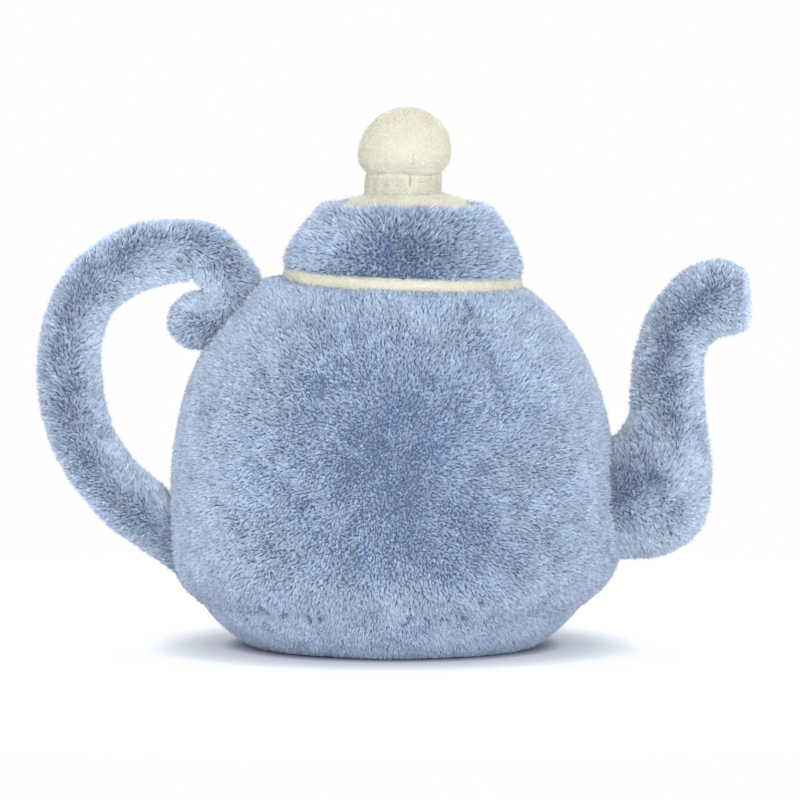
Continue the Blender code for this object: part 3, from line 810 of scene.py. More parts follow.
# Each pucker's pit also counts as an edge, so its tufts are painted darker, a painted shade in the dip.
pit_away = np.full(press.shape, FAR_OFF)
for seam, height, depth, spread in PUCKERS:
    gap = np.hypot(arc_to(round_angle, seam, round_radius), tall - height)
    press += hump(gap, depth, spread)
    pit_away = np.minimum(pit_away, gap * PIT_AWAY / spread + PIT_AWAY - depth)
press -= lumps(points, BODY_LUMPS)
press += hump(np.maximum(down - NECK_TUCK, 0), *NECK_GROOVE)
press -= hump(to_spout, *SPOUT_PULL) * hump(tall - SPOUT_PULL_HEIGHT, 1, SPOUT_PULL_TALL)
press -= hump(to_scroll, *SCROLL_PULL) * hump(down - SCROLL_PULL_DOWN, 1, SCROLL_PULL_TALL)
press -= hump(to_spout, *FLANK_FULL) * ease((tall - FLANK_FROM) / FLANK_TALL)
press[2 * flat_row:] = 0
points = body_fine.pressed(press)
points[..., 0] += BODY_SLIP
points[..., 0] *= 1 + BASE_SPREAD * (1 - ease((points[..., 2] - SPREAD_FROM) / SPREAD_TALL))
print("pressed in by up to", round(float(press.max()), 2), "mm")

# %% Body panels and base
side_open = seam_show(round_angle, points[..., 2])
side_open = side_open * ease(OPEN_GAIN * drift(points, SIDE_OPEN_SIZE, SIDE_OPEN_SEED))
base_away = to_base + HIDDEN * (1 - ease(BASE_OPEN_GAIN * gather - BASE_OPEN_LEAST))
neck_away = np.maximum(down - NECK_TUCK * math.hypot(1, NECK_SLOPE), 0)
away_side = np.minimum(to_seam + HIDDEN * (1 - side_open), base_away)
away_side = np.minimum(np.minimum(away_side, neck_away), pit_away)
body_comb = combed(points, normals, (1, 0, COMB_TALL), COMB_MIDDLE, COMB_REACH)
body_comb *= ease(neck_away / NECK_UNCOMBED)[..., None]

fine_marks = [2 * mark for mark in seam_marks] + [points.shape[1]]
for k, name in enumerate(BODY_NAMES):
    columns = np.arange(fine_marks[k], fine_marks[k + 1] + 1) % points.shape[1]
    rows = slice(0, 2 * base_row + 1)
    skin = Skin(points[rows, columns], away_side[rows, columns], comb=body_comb[rows, columns])
    skin.notches = NOTCHES
    panel = cloth_piece(f"plush_body_{name}", skin, BODY_PILE, BLUE_PLUSH, seed=1000 + 10 * k)
    settle(panel, f"body_panel_{name}")

base_skin = Skin(points[2 * base_row:], base_away[2 * base_row:], ring=True, comb=body_comb[2 * base_row:])
base_skin.notches = NOTCHES
# The base's pile is painted paler, a painted light on the underside, where the floor shades it.
base = cloth_piece("plush_base", base_skin, BASE_PILE, BLUE_PLUSH, seed=1100, floor=0.1, pale=0.2)
settle(base, "base_panel")

# %% [markdown]
# ## Lid
# The lid is a strip of longer plush on a rolled cream collar, closed by a seam at the middle of the back,
# with a domed cream disc sewn into its top. It was sewn on a little crooked: it leans towards the spout.

# %% Lid seat
LID_SHIFT = 4.2
LID_LEAN = math.radians(2.2)
LID_SEAT = 148.5
LID_FOOT = 3.3
LID_HEIGHT = 26.0
LID_TOP = LID_FOOT + LID_HEIGHT
LID_SLIP = 0.4
LID_SAG, LID_SAG_REACH = 2.6, 36


def on_lid(points, shift=0.0):
    """Moves points from the lid's own place, upright on its axis, to where it leans on the body."""
    x, y = points[..., 0] + shift, points[..., 1]
    z = points[..., 2] - LID_SAG * ease(-x / LID_SAG_REACH) * np.clip(points[..., 2] / LID_TOP, 0, 1)
    over = x * math.cos(LID_LEAN) + z * math.sin(LID_LEAN)
    up = z * math.cos(LID_LEAN) - x * math.sin(LID_LEAN)
    return np.stack([over, y, up], axis=-1) + np.array((LID_SHIFT + LID_SLIP, 0, LID_SEAT))


def full_turn(count):
    """Angles once round, starting at the middle of the back."""
    return np.linspace(0, 2 * math.pi, count, endpoint=False) - math.pi / 2


print("lid top at", round(LID_SEAT + LID_TOP, 1), "mm")

# %% Lid side
LID_RADIUS = 46.4
LID_SHOULDER_RADIUS = 34.4
LID_SHOULDER_DROP = 2.3
DISC_RADIUS = 26.6
DISC_LAP = 1.0
FLANK_STEPS, LID_COLUMNS = 40, 96
LID_STEP = 2.0
LID_SOFT = 1.3
HEM_DROP = 1.5
HEM_LINE = ((-0.6, 3.6), (-2.4, 2.8), (-6.0, 2.4))
HEM_HIDDEN = 6.0
TOP_AWAY, BACK_AWAY = 1.0, 1.5
BACK_SEAM = -90
LID_GROOVE = (1.2, 3.5)
LID_LUMPS = ((0.7, 18.0, 31),)
LID_COMB_MIDDLE = (-12.0, 0.0, 0.55 * LID_TOP)
LID_COMB_TALL, LID_COMB_REACH = 1.6, 32.0

drop = np.linspace(0, 1, FLANK_STEPS)
flank_radius = LID_SHOULDER_RADIUS + (LID_RADIUS - LID_SHOULDER_RADIUS) * np.sin(drop * math.pi / 2)
flank_height = LID_TOP - LID_SHOULDER_DROP - (LID_HEIGHT + HEM_DROP - LID_SHOULDER_DROP) * drop
flank = np.stack([flank_radius, flank_height], axis=1)
shoulder = bent((DISC_RADIUS - DISC_LAP, LID_TOP), (LID_SHOULDER_RADIUS, LID_TOP), flank[0])
lid_line = inset(np.concatenate([shoulder[:-1], flank]), LONG_DEPTH)
lid_hem = np.array(HEM_LINE) + (LID_RADIUS - LONG_DEPTH, -HEM_DROP)
lid_rows, lid_lengths = evenly(np.concatenate([lid_line, lid_hem]), LID_STEP)
lid_turn = full_turn(LID_COLUMNS)
back_gap = arc_to(lid_turn, BACK_SEAM, LID_RADIUS)[None, :]
to_hem = np.maximum(lid_lengths[-1] - lid_lengths - HEM_HIDDEN, 0)
to_edge = np.minimum(to_hem, lid_lengths + TOP_AWAY)[:, None]
lid_points = turned(lid_rows, lid_turn)
lid_skin = Skin(lid_points, np.minimum(to_edge, back_gap + BACK_AWAY), ring=True)
normals = lid_skin.normals()
dent = hump(back_gap, *LID_GROOVE) - lumps(lid_points, LID_LUMPS)
dent = dent + LID_SOFT * np.clip(normals[..., 2], 0, 1)
lid_skin.comb = combed(lid_points, normals, (1, 0, LID_COMB_TALL), LID_COMB_MIDDLE, LID_COMB_REACH)
lid_skin.points = on_lid(lid_skin.pressed(dent))
lid = cloth_piece("plush_lid_side", lid_skin, LONG_PILE, BLUE_PLUSH, seed=1200)
settle(lid, "lid_side")

# %% [markdown]
# ## Cream pieces
# Collar, disc, neck band and ball are cut from a short-napped cream velour. The ball is one round of cloth,
# gathered in over its filling, so small pleats run up from its edge. The band's foot is tucked into the
# disc.

# %% Collar
CREAM_DEPTH = 0.5
COLLAR_RADIUS = 47.9
COLLAR_HALF = 2.4
COLLAR_FULL = 3.3
COLLAR_ROLL, COLLAR_STEPS, COLLAR_COLUMNS = 150, 17, 180
COLLAR_GROOVE = (0.5, 1.2)
COLLAR_LUMPS = ((0.15, 7.0, 41),)

roll = np.radians(np.linspace(COLLAR_ROLL, -COLLAR_ROLL, COLLAR_STEPS))
collar_height = COLLAR_FULL * np.sin(roll) - HEM_DROP
collar_line = np.stack([COLLAR_RADIUS - COLLAR_HALF * (1 - np.cos(roll)), collar_height], axis=1)
collar_turn = full_turn(COLLAR_COLUMNS)
collar_gap = arc_to(collar_turn, BACK_SEAM, COLLAR_RADIUS)[None, :]
collar_skin = Skin(turned(inset(collar_line, CREAM_DEPTH), collar_turn), collar_gap, ring=True)
dent = hump(collar_gap, *COLLAR_GROOVE) + lumps(collar_skin.points, COLLAR_LUMPS)
collar_skin.points = on_lid(collar_skin.pressed(dent), -LID_SLIP / 2)
collar = cloth_piece("velour_collar", collar_skin, NAP, CREAM_VELOUR, seed=1300)
settle(collar, "collar_band")

# %% Lid disc
DISC_RISE = 5.8
RIM_FROM, RIM_SINK = 0.84, 2.0
DISC_HOLE, DISC_STEPS, DISC_COLUMNS = 0.04, 18, 90

share = np.linspace(DISC_HOLE, 1, DISC_STEPS)
disc_rise = DISC_RISE * (1 - share**2) - RIM_SINK * ease((share - RIM_FROM) / (1 - RIM_FROM))
disc_line = np.stack([DISC_RADIUS * share, LID_TOP + disc_rise], axis=1)
disc_points = turned(inset(disc_line, CREAM_DEPTH), full_turn(DISC_COLUMNS))
disc_skin = Skin(on_lid(disc_points), DISC_RADIUS * (1 - share[:, None]), ring=True)
disc = cloth_piece("velour_lid_disc", disc_skin, NAP, CREAM_VELOUR, seed=1310, pale=0.2)
settle(disc, "lid_top_disc")

# %% Neck band
NECK_BAND_RADIUS = 15.3
NECK_BAND_HEIGHT = 6.9
KNOB_SHIFT = -1.4
SEAM_GAP = 0.3
BAND_SINK = 3.4
BAND_STEPS, BAND_COLUMNS = 14, 240
GATHER_PINCH = (1.5, 1.0)
BAND_SEAM, BAND_SEAM_HEIGHT, BAND_SEAM_TALL = -79.4, 3.4, 2.6
BAND_GROOVE = (1.5, 0.4)
BAND_LUMPS = ((0.35, 7.0, 51),)
BAND_PLEATS, PLEAT_STRETCH = ((0.45, 1.8, 52),), (1, 1, 0.3)

band_foot = LID_TOP + DISC_RISE + SEAM_GAP
band_top = band_foot + NECK_BAND_HEIGHT
band_heights = np.linspace(band_top, band_foot - BAND_SINK, BAND_STEPS)
band_edge = band_top - band_heights
band_line = np.stack([NECK_BAND_RADIUS - hump(band_edge, *GATHER_PINCH), band_heights], axis=1)
band_turn = full_turn(BAND_COLUMNS)
band_gap = arc_to(band_turn, BAND_SEAM, NECK_BAND_RADIUS)[None, :]
band_points = turned(inset(band_line, CREAM_DEPTH), band_turn)
band_skin = Skin(band_points, np.minimum(band_gap, band_edge[:, None]), ring=True)
half_way = hump(band_heights - band_foot - BAND_SEAM_HEIGHT, 1, BAND_SEAM_TALL)[:, None]
dent = half_way * hump(band_gap, *BAND_GROOVE) + lumps(band_points, BAND_LUMPS)
dent = dent + lumps(band_points * PLEAT_STRETCH, BAND_PLEATS)
band_skin.points = on_lid(band_skin.pressed(dent), KNOB_SHIFT)
# The band is painted darker, a painted shade under the knob's ball.
band = cloth_piece("velour_neck_band", band_skin, NAP, CREAM_VELOUR, seed=1320, pale=-0.6)
settle(band, "knob_neck_band")

# %% Knob ball
KNOB_RADIUS = 18.0
KNOB_GATHER_RADIUS = 15.9
BALL_SQUASH = (1.015, 1.015, 0.88)
BALL_FULL, BALL_FULL_AT = (0.9, 0.3), 1.95
BALL_HOLE, BALL_TUCK = 0.03, 0.4
BALL_STEPS, BALL_COLUMNS = 38, 108
BALL_PLEATS, PLEAT_SIZE, PLEAT_SEED = 20, 2.6, 61
PLEAT_GROOVE = (0.4, 3.0)
BALL_LUMPS = ((0.3, 12.0, 62),)

knob_middle = band_top + SEAM_GAP + math.sqrt(KNOB_RADIUS**2 - KNOB_GATHER_RADIUS**2)
gather_angle = math.pi / 2 + math.acos(KNOB_GATHER_RADIUS / KNOB_RADIUS)
fall = np.linspace(BALL_HOLE, gather_angle + BALL_TUCK, BALL_STEPS)
ball_reach = KNOB_RADIUS * np.sin(fall) + hump(fall - BALL_FULL_AT, *BALL_FULL)
ball_line = np.stack([ball_reach, knob_middle + KNOB_RADIUS * np.cos(fall)], axis=1)
ball_turn = full_turn(BALL_COLUMNS)
ball_edge = (KNOB_RADIUS * (gather_angle - fall))[:, None]
ball_points = turned(inset(ball_line, CREAM_DEPTH), ball_turn)
ball_skin = Skin(ball_points, np.maximum(ball_edge, 0), ring=True)
pleat = ring_lumps(ball_turn, BALL_PLEATS, PLEAT_SIZE, PLEAT_SEED)[None, :]
dent = np.clip(pleat, 0, 1) * hump(ball_edge, *PLEAT_GROOVE) + lumps(ball_points, BALL_LUMPS)
ball_points = (ball_skin.pressed(dent) - (0, 0, knob_middle)) * BALL_SQUASH + (0, 0, knob_middle)
ball_skin.points = on_lid(ball_points, KNOB_SHIFT)
ball = cloth_piece("velour_knob_ball", ball_skin, NAP, CREAM_VELOUR, seed=1330)
settle(ball, "knob_ball")

# %% [markdown]
# ## Handle
# The handle is a stuffed tube of two mirrored panels. Its middle line rises from the belly, bends over and
# curls into a scroll that leans on the shoulder. A smooth curve through the pattern's points gives the line,
# and rings square to it give the skin.

# %% Curves and tubes
CURVE_STEPS = 2000
TUBE_STEP = 2.0
TUBE_OPEN, TUBE_OPEN_SIZE = 0.6, 9.0
TUBE_COMB = 0.16
ONWARD_END = 0.7
END_CALM = 0.7
PART_REACH = 10.0


def curve_through(points, knots, count):
    """Places on a smooth curve through the points, at even steps of their knots."""
    slopes = np.gradient(points, knots, axis=0)
    fine = np.linspace(0, knots[-1], count)
    place = np.clip(np.searchsorted(knots, fine, side="right") - 1, 0, len(points) - 2)
    width = (knots[place + 1] - knots[place])[:, None]
    t = (fine - knots[place])[:, None] / width
    leaving = (1 + 2 * t) * (1 - t) ** 2 * points[place] + t * (1 - t) ** 2 * width * slopes[place]
    arriving = t**2 * (3 - 2 * t) * points[place + 1] - t**2 * (1 - t) * width * slopes[place + 1]
    return leaving + arriving


def upright(pairs):
    """Pairs of x and z as points in the toy's middle plane."""
    return np.insert(pairs, 1, 0, axis=1)


def tube(middle, outward, radius, turn, flatness=1.0):
    """Rings of points about a middle line that lies in the toy's middle plane."""
    ring = np.cos(turn)[:, None] * outward[:, None]
    ring = ring + flatness * np.sin(turn)[:, None] * np.array((0, 1, 0))
    return middle[:, None] + radius[:, None, None] * ring


def hidden_seam(points, seed):
    """How deep a tube's seam hides in its pile, in millimetres, less in some places than in others."""
    return HIDDEN * (1 - TUBE_OPEN * ease(OPEN_GAIN * drift(points, TUBE_OPEN_SIZE, seed)))


def clear_of_body(points, depth):
    """Which points lie outside the body, or no deeper in it than this."""
    inside = body_radius(points[..., 2]) - np.hypot(points[..., 0], points[..., 1])
    return (inside < depth) | (points[..., 2] > NECK_HEIGHT)


def near_body(points):
    """How far points stand off the body's side, in millimetres, and far above its neck."""
    off = np.hypot(points[..., 0], points[..., 1]) - body_radius(points[..., 2])
    return np.where(points[..., 2] > NECK_HEIGHT, HIDDEN, np.maximum(off, 0))


def half_skins(points, away, keep, comb):
    """A tube's grid parted at the upright middle plane into its front and back panels."""
    half = points.shape[1] // 2
    halves = {"front": np.arange(half + 1), "back": np.arange(half, 2 * half + 1) % points.shape[1]}
    return {
        side: Skin(points[:, c], away[:, c], keep=keep[:, c], comb=comb[:, c]) for side, c in halves.items()
    }


def parted(middle, points, normal, end, onward_least):
    """Leans along a tube, changing near its free end, and off each panel's middle to the tube's seams."""
    step = np.gradient(middle, axis=0)
    from_end = np.cumsum(np.linalg.norm(step, axis=1)[::-1])[::-1]
    last = (1 - ease(from_end / end))[:, None, None]
    onward = unit(step)[:, None] * (onward_least + (ONWARD_END - onward_least) * last)
    outward, far = spread_from(middle[:, None], points, (1, 0, 1), normal)
    return outward * ease(far / PART_REACH) * TUBE_COMB * (1 - END_CALM * last) + onward


print("tubes ready")

# %% Handle's line
HANDLE_RADIUS = 12.2
HANDLE_HEIGHT = 47.6
HANDLE_RISE = ((-11.2, -11.2), (1.4, -1.3), (21.8, 14.9), (34.4, 32.7))
BOW_OUT = 40.9
BOW_HEIGHT = 108.0
BOW_POWER = 2.58
SCROLL_HEIGHT = 143.5
SCROLL_RADIUS = 13.9
SCROLL_PRESS = 1.1
CURL_SAG = 1.5
CURL_TIGHT = 2.0
CREST_DROP = 2.8
CURL_WIDE = 1.2
ARCH_TAPER = 1.3
ARCH_FULL, ARCH_FULL_AT = (1.3, 0.4), 1.1
CURL_TAPER = 1.6
ARCH_STEP, CURL_STEP = 18, 27
END_ANGLES = (0, 20, 40, 58, 73, 84)


def handle_path():
    """The handle's middle line, as rows of x, z and radius."""
    path = [(-BELLY_RADIUS - out, HANDLE_HEIGHT + up, HANDLE_RADIUS) for out, up in HANDLE_RISE]
    middle = SCROLL_PRESS - float(body_radius(SCROLL_HEIGHT)) - SCROLL_RADIUS - HANDLE_RADIUS
    reach = middle + BELLY_RADIUS + BOW_OUT
    rise = SCROLL_HEIGHT + SCROLL_RADIUS - BOW_HEIGHT
    for angle in np.radians(range(0, 90, ARCH_STEP)):
        out = reach * math.cos(angle) ** (2 / BOW_POWER)
        up = BOW_HEIGHT + (rise + ARCH_TAPER / 2) * math.sin(angle) ** (2 / BOW_POWER)
        radius = HANDLE_RADIUS - ARCH_TAPER * math.sin(angle) + hump(angle - ARCH_FULL_AT, *ARCH_FULL)
        path.append((middle - out, up, radius))
    for angle in np.radians(range(90, -90, -CURL_STEP)):
        down = (1 - math.sin(angle)) / 2
        up = SCROLL_HEIGHT + (SCROLL_RADIUS - CURL_TIGHT * down) * math.sin(angle) - CURL_SAG * down
        up += ARCH_TAPER / 2 * (1 - down) - CREST_DROP * max(math.sin(2 * angle), 0)
        radius = HANDLE_RADIUS - ARCH_TAPER - (CURL_TAPER - ARCH_TAPER) * down
        path.append((middle + (SCROLL_RADIUS - CURL_TIGHT + CURL_WIDE) * math.cos(angle), up, radius))
    radius = HANDLE_RADIUS - CURL_TAPER
    floor = SCROLL_HEIGHT - SCROLL_RADIUS + CURL_TIGHT - CURL_SAG
    for angle in np.radians(END_ANGLES):
        path.append((middle - radius * math.sin(angle), floor, radius * math.cos(angle)))
    path = np.array(path, float)
    gaps = np.linalg.norm(np.diff(path[:, :2], axis=0), axis=1) ** 0.5
    knots = np.concatenate([[0], np.cumsum(gaps)])
    return evenly(curve_through(path, knots, CURVE_STEPS), TUBE_STEP)[0]


path = handle_path()
print("handle rings:", len(path))

# %% Handle panels
# A crease is the two ends of a line, as x and z, a depth and a spread.
CREASES = ((-62.0, 142.5, -54.0, 142.8, 1.4, 2.4), (-87.0, 155.5, -80.5, 152.0, 1.6, 2.4))
CREASE_AWAY = 1
TUBE_COLUMNS, TUBE_LEAST = 72, 0.4
TUBE_GROOVE = (0.6, 2.5)
HANDLE_LUMPS = ((0.7, 20.0, 71), (0.3, 8.0, 72))
HANDLE_OPEN_SEED = 73
HANDLE_FOOT_AWAY = 0.8
HANDLE_ONWARD, HANDLE_END = 0.70, 45.0
ROOT_REACH = 6.0

middle = upright(path[:, :2])
along = unit(np.gradient(middle, axis=0))
outward = upright(np.stack([-along[:, 2], along[:, 0]], axis=1))
turn = np.linspace(0, 2 * math.pi, TUBE_COLUMNS, endpoint=False)
skin_depth = LONG_DEPTH * np.minimum(1, path[:, 2] / HANDLE_RADIUS)
tube_points = tube(middle, outward, np.maximum(path[:, 2] - skin_depth, TUBE_LEAST), turn)
seam_gap = (np.abs(np.sin(turn)) * HANDLE_RADIUS)[None, :]
handle_away = seam_gap + hidden_seam(tube_points, HANDLE_OPEN_SEED)
dent = hump(seam_gap, *TUBE_GROOVE) - lumps(tube_points, HANDLE_LUMPS)
# Tufts in a crease are painted darker, a painted shade in the fold.
for *ends, depth, spread in CREASES:
    gap = np.linalg.norm(off_line(tube_points, *ends), axis=-1)
    dent += hump(gap, depth, spread)
    handle_away = np.minimum(handle_away, gap * PIT_AWAY / spread + CREASE_AWAY)
handle_grid = Skin(tube_points, handle_away, ring=True)
tube_points = handle_grid.pressed(dent)
handle_keep = clear_of_body(tube_points, ROOT_REACH)
# Where the handle meets the body its tufts are painted darker, a painted shade in the join.
handle_away = np.minimum(handle_away, near_body(tube_points) + HANDLE_FOOT_AWAY)
handle_comb = parted(middle, tube_points, handle_grid.normals(), HANDLE_END, HANDLE_ONWARD)
# The handle's pile is painted a little paler than the body's, a painted light.
for side, skin in half_skins(tube_points, handle_away, handle_keep, handle_comb).items():
    seed = 1400 + 10 * (side == "back")
    panel = cloth_piece(f"plush_handle_{side}", skin, TUBE_PILE, BLUE_PLUSH, seed, pale=0.08)
    settle(panel, f"handle_panel_{side}")

# %% [markdown]
# ## Spout
# The spout swells at its root, narrows to a neck and bends over at its lip. Each of its rings lies between a
# point of its upper edge and one of its lower edge, so both edges are drawn as the pattern's curves and the
# rings are strung between them.

# %% Spout panels
SPOUT_HEIGHT = 61.3
SPOUT_FLATNESS = 0.9
SPOUT_UPPER = (
    (-16.0, 19.0), (1.0, 21.8), (4.6, 24.4), (7.0, 27.8), (8.3, 31.6), (9.0, 36.4),
    (9.4, 46.7), (11.6, 60.2), (17.2, 74.1), (27.4, 86.1), (40.6, 92.3), (50.2, 90.4),
)
SPOUT_LOWER = (
    (-16.0, -26.1), (6.0, -26.1), (20.8, -24.2), (34.0, -14.6), (38.1, 5.0), (36.4, 25.7),
    (35.1, 45.7), (36.2, 56.5), (39.2, 61.2), (42.6, 63.4), (46.8, 64.0), (51.4, 65.2),
)
SPOUT_ROWS, SPOUT_COLUMNS = 84, 64
SPOUT_LUMPS = ((0.8, 20.0, 81),)
SPOUT_OPEN_SEED = 83
SPOUT_FOOT_SLOPE, SPOUT_FOOT_AWAY = 0.4, 0.4
SPOUT_ONWARD, SPOUT_END = 0.40, 8.0


def spout_edge(pattern):
    """An edge of the spout with as many points as it has rows, each as far along as in the pattern."""
    points = np.array(pattern) + (float(body_radius(SPOUT_HEIGHT)), SPOUT_HEIGHT)
    return curve_through(points, np.arange(len(points)), SPOUT_ROWS)


upper, lower = spout_edge(SPOUT_UPPER), spout_edge(SPOUT_LOWER)
centre = upright((upper + lower) / 2)
outward = upright(unit(upper - lower))
spout_size = np.linalg.norm(upper - lower, axis=1) / 2 - LONG_DEPTH
spout_turn = np.linspace(0, 2 * math.pi, SPOUT_COLUMNS, endpoint=False)
spout_points = tube(centre, outward, spout_size, spout_turn, SPOUT_FLATNESS)
spout_away = np.abs(np.sin(spout_turn))[None, :] * spout_size[:, None]
spout_away = spout_away + hidden_seam(spout_points, SPOUT_OPEN_SEED)
spout_grid = Skin(spout_points, spout_away, ring=True)
dent = hump(spout_away, *TUBE_GROOVE) - lumps(spout_points, SPOUT_LUMPS)
spout_points = spout_grid.pressed(dent)
spout_keep = clear_of_body(spout_points, ROOT_REACH)
# Where the spout meets the body its tufts are painted darker, a painted shade in the join.
by_body = SPOUT_FOOT_SLOPE * near_body(spout_points) + SPOUT_FOOT_AWAY
spout_away = np.minimum(spout_away, by_body)
spout_comb = parted(centre, spout_points, spout_grid.normals(), SPOUT_END, SPOUT_ONWARD)
# The spout's pile is painted a little darker than the body's, a painted shade.
for side, skin in half_skins(spout_points, spout_away, spout_keep, spout_comb).items():
    seed = 1500 + 10 * (side == "back")
    panel = cloth_piece(f"plush_spout_{side}", skin, TUBE_PILE, BLUE_PLUSH, seed, pale=-0.05)
    settle(panel, f"spout_panel_{side}")

# %% Spout's end disc
LIP_SHARES = (1.0, 0.93, 0.8, 0.6, 0.4, 0.2, 0.05)
LIP_DOME = 0.8
LIP_COMB = 0.5

lip_share = np.array(LIP_SHARES)[:, None, None]
lip_edge = spout_points[-1]
lip_middle = lip_edge.mean(axis=0)
tip_points = lip_middle + (lip_edge - lip_middle)[None] * lip_share
tip_points[..., 0] += LIP_DOME * np.sqrt(1 - lip_share[..., 0] ** 2)
tip_skin = Skin(tip_points, HIDDEN, ring=True)
lip_lean = LIP_COMB * np.linspace(1, 0, len(tip_points))
tip_skin.comb = unit(tip_points - lip_middle) * lip_lean[:, None, None]
# The end disc is painted paler, a painted light glowing through its rim.
tip = cloth_piece("plush_spout_tip", tip_skin, TIP_PILE, BLUE_PLUSH, seed=1520, pale=0.4)
settle(tip, "spout_tip_disc")

# %% [markdown]
# ## Filling
# Loose polyester fibre stuffs every hollow, and a cotton pouch of pellets weighs the base. They never show,
# but a model that is cut open should hold them, so each is grown from its solid: rebuilt in small cells and
# pressed into soft lumps that stay inside the solid.

# %% Filling materials
TUFT_SHARE = 0.6
STRANDS_TO_A_TUFT = 6


def lumpy_material(name, dark, pale, grain, roughness):
    material, start = new_material(name)
    place = start.node("ShaderNodeTexCoord", (), (), "Object")
    tuft = start.node("ShaderNodeTexNoise", (), {"Vector": place, "Scale": grain, "Detail": 6.0})
    strand_settings = {"Vector": place, "Scale": grain * STRANDS_TO_A_TUFT, "Distortion": 2.0}
    strands = start.node("ShaderNodeTexNoise", (), strand_settings)
    level = tuft * TUFT_SHARE + strands * (1 - TUFT_SHARE)
    colour = start.node("ShaderNodeValToRGB", {"stops": ((0.3, dark), (0.7, pale))}, {0: level})
    bump = start.node("ShaderNodeBump", (), {"Height": level, "Strength": 0.6, "Distance": 0.001})
    shader = {"Base Color": colour, "Roughness": roughness, "Normal": bump, "Specular IOR Level": 0.2}
    start.node("ShaderNodeOutputMaterial", (), {0: start.node("ShaderNodeBsdfPrincipled", (), shader)})
    return material


FIBRE_DARK, FIBRE_PALE = linear(214, 214, 210), linear(246, 246, 243)
COTTON_DARK, COTTON_PALE = linear(196, 184, 160), linear(226, 216, 194)
FIBRE = lumpy_material("loose fibre", FIBRE_DARK, FIBRE_PALE, grain=90.0, roughness=1.0)
COTTON = lumpy_material("cotton pouch", COTTON_DARK, COTTON_PALE, grain=400.0, roughness=0.9)
FILLINGS = {
    "body_stuffing": ("fibre_filling", FIBRE, 7.0),
    "lid_stuffing": ("fibre_filling", FIBRE, 4.0),
    "knob_stuffing": ("fibre_filling", FIBRE, 2.5),
    "handle_stuffing": ("fibre_filling", FIBRE, 2.5),
    "spout_stuffing": ("fibre_filling", FIBRE, 3.0),
    "pellet_pouch": ("cotton_pouch", COTTON, 3.0),
}
print("filling materials:", FIBRE.name, COTTON.name)

# %% Filling pieces
FILL_LUMP_SIZE, FILL_LUMP_SEED = 2.2, 91
FILL_LUMP_DEPTH = 0.1375


def filling_piece(node, material, cell):
    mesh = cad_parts[node].data.copy()
    mesh.materials.clear()
    mesh.materials.append(material)
    obj = bpy.data.objects.new(f"soft_{node}", mesh)
    bpy.context.scene.collection.objects.link(obj)
    remesh = obj.modifiers.new("cells", "REMESH")
    remesh.mode = "VOXEL"
    remesh.voxel_size = cell * MM
    rebuilt = bpy.data.meshes.new_from_object(obj.evaluated_get(bpy.context.evaluated_depsgraph_get()))
    obj.modifiers.clear()
    obj.data = rebuilt
    places = np.empty(len(rebuilt.vertices) * 3)
    rebuilt.vertices.foreach_get("co", places)
    normal = np.empty(len(rebuilt.vertices) * 3)
    rebuilt.vertices.foreach_get("normal", normal)
    places = places.reshape(-1, 3) / MM
    dents = (1 + drift(places, FILL_LUMP_SIZE * cell, FILL_LUMP_SEED)) * cell * FILL_LUMP_DEPTH
    places = places - normal.reshape(-1, 3) * dents[:, None]
    rebuilt.vertices.foreach_set("co", (places * MM).ravel())
    rebuilt.polygons.foreach_set("use_smooth", np.ones(len(rebuilt.polygons), bool))
    rebuilt.update()
    settle(obj, node)
    print(obj.name, "has", len(rebuilt.polygons), "faces")


for node, (slot, material, cell) in FILLINGS.items():
    filling_piece(node, material, cell)

# %% [markdown]
# ## Studio
# A white sweep and broad soft lamps: the floor is pale enough to end in white, and a soft blue shadow stays
# under the toy, partly cast by the lamps and partly a painted shadow, as the floor's colour turns dark blue
# near the toy. The floor is lifted a little for the camera alone, but not along the line where the toy
# touches it, which paints a dark contact line there. What the camera sees past the floor is plain white.

# %% Floor
FLOOR_SIZE = 6.0
SHADOW_REACH = 0.2
WHITE_FROM = 0.4
# Near the toy the floor's colour is mixed towards a dark blue, a painted shadow, and its lift fades along
# the contact line, a painted dark line.
CONTACT_REACH = 0.03
CONTACT_LINE = 0.008
CONTACT_PAINTED_SHADOW = (0.08, 0.14, 0.32, 1)
PAPER = (0.90, 0.93, 0.97, 1)
WHITE = (1, 1, 1, 1)
OPEN_SAMPLES = {"samples": 8}
LIFT = 0.36


def seen_directly(start):
    """1 for light that reaches the camera straight, by a mirror or through glass, and 0 for the rest."""
    kinds = ("Camera", "Glossy", "Transmission")
    rays = [start.node("ShaderNodeLightPath", (), (), f"Is {kind} Ray") for kind in kinds]
    return start.maths("MAXIMUM", start.maths("MAXIMUM", rays[0], rays[1]), rays[2])


bpy.ops.mesh.primitive_plane_add(size=FLOOR_SIZE)
floor = bpy.context.object
floor.name = "floor"
floor_material, start = new_material("white floor")
# Painted shadow: where little sky reaches the floor, its colour turns dark blue.
open_sky = start.node("ShaderNodeAmbientOcclusion", OPEN_SAMPLES, {"Distance": CONTACT_REACH}, "AO")
layers = {MIX_SHARE: open_sky, MIX_FIRST: CONTACT_PAINTED_SHADOW, MIX_SECOND: PAPER}
tint = start.node("ShaderNodeMix", {"data_type": "RGBA"}, layers, MIX_RESULT)
paper = start.node("ShaderNodeBsdfDiffuse", (), {"Color": tint})
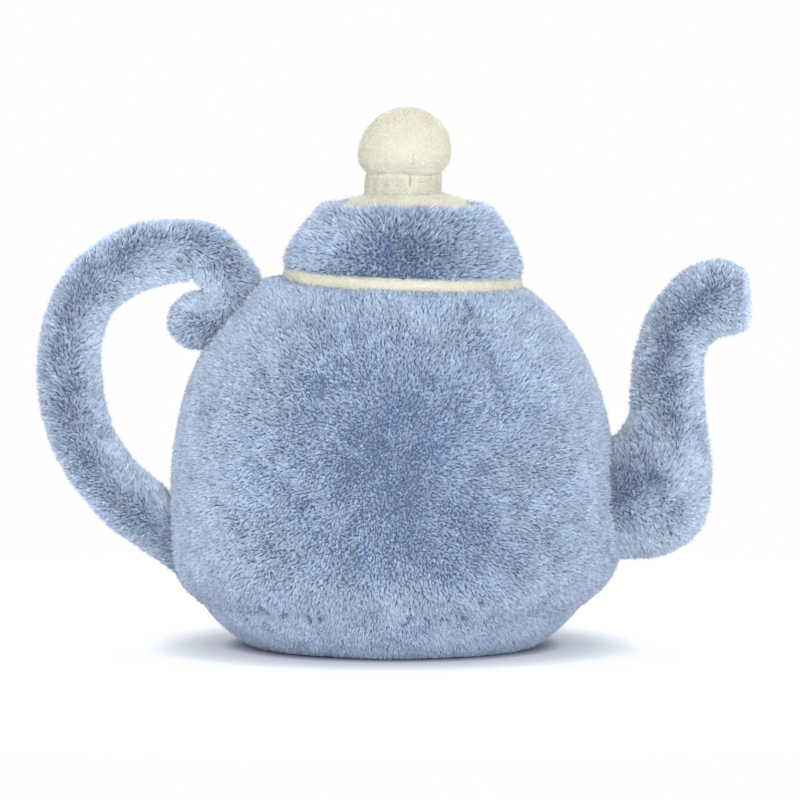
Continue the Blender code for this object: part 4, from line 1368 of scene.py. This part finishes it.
# Painted contact line: the lift fades where the toy touches the floor.
off_contact = start.node("ShaderNodeAmbientOcclusion", OPEN_SAMPLES, {"Distance": CONTACT_LINE}, "AO")
lift_strength = seen_directly(start) * LIFT
lift = start.node("ShaderNodeEmission", (), {"Color": off_contact, "Strength": lift_strength})
paper = start.node("ShaderNodeAddShader", (), {0: paper, 1: lift})
glow = start.node("ShaderNodeEmission", (), {"Color": WHITE, "Strength": 1.0})
place = start.node("ShaderNodeTexCoord", (), (), "Object")
distance = start.node("ShaderNodeVectorMath", {"operation": "LENGTH"}, {0: place}, "Value")
fade = {"From Min": SHADOW_REACH, "From Max": WHITE_FROM}
far = start.node("ShaderNodeMapRange", {"interpolation_type": "SMOOTHSTEP"}, {"Value": distance, **fade})
white_out = far * seen_directly(start)
surface = start.node("ShaderNodeMixShader", (), {0: white_out, 1: paper, 2: glow})
start.node("ShaderNodeOutputMaterial", (), {0: surface})
floor.data.materials.append(floor_material)
print("floor reaches white", WHITE_FROM, "m from the middle")

# %% World
SKY = 0.60

world = bpy.data.worlds.new("studio")
bpy.context.scene.world = world
world.use_nodes = True
world.node_tree.nodes.clear()
start = Wire(world.node_tree)
seen = seen_directly(start)
strength = seen + (1 - seen) * SKY
sky = start.node("ShaderNodeBackground", (), {"Color": WHITE, "Strength": strength})
start.node("ShaderNodeOutputWorld", (), {0: sky})
print("sky at", SKY)

# %% Lamps
LAMP_AIM = (0, 0, 0.09)
PLAIN, COOL = (1, 1, 1), (0.60, 0.82, 1.0)
LAMPS = (
    ("left", (-1.25, -0.2, 0.6), 1.0, 1.8, PLAIN),
    ("right", (1.25, -0.2, 0.6), 1.0, 2.3, PLAIN),
    ("back", (0.0, 1.1, 1.2), 1.0, 7.0, PLAIN),
    ("front", (0.1, -1.5, 0.35), 1.2, 10.7, PLAIN),
    ("low front", (0.05, -1.0, 0.08), 1.0, 4.6, COOL),
)


def lamp(name, location, size, power, colour):
    data = bpy.data.lights.new(name, "AREA")
    data.color = colour
    data.size = size
    data.energy = power
    obj = bpy.data.objects.new(name, data)
    obj.location = location
    toward = np.array(LAMP_AIM) - np.array(location)
    level = math.hypot(toward[0], toward[1])
    obj.rotation_euler = (math.atan2(level, -toward[2]), 0, math.atan2(toward[1], toward[0]) - math.pi / 2)
    bpy.context.scene.collection.objects.link(obj)


for settings in LAMPS:
    lamp(*settings)
bpy.context.scene.view_settings.view_transform = "Standard"
print("lamps:", len(LAMPS))
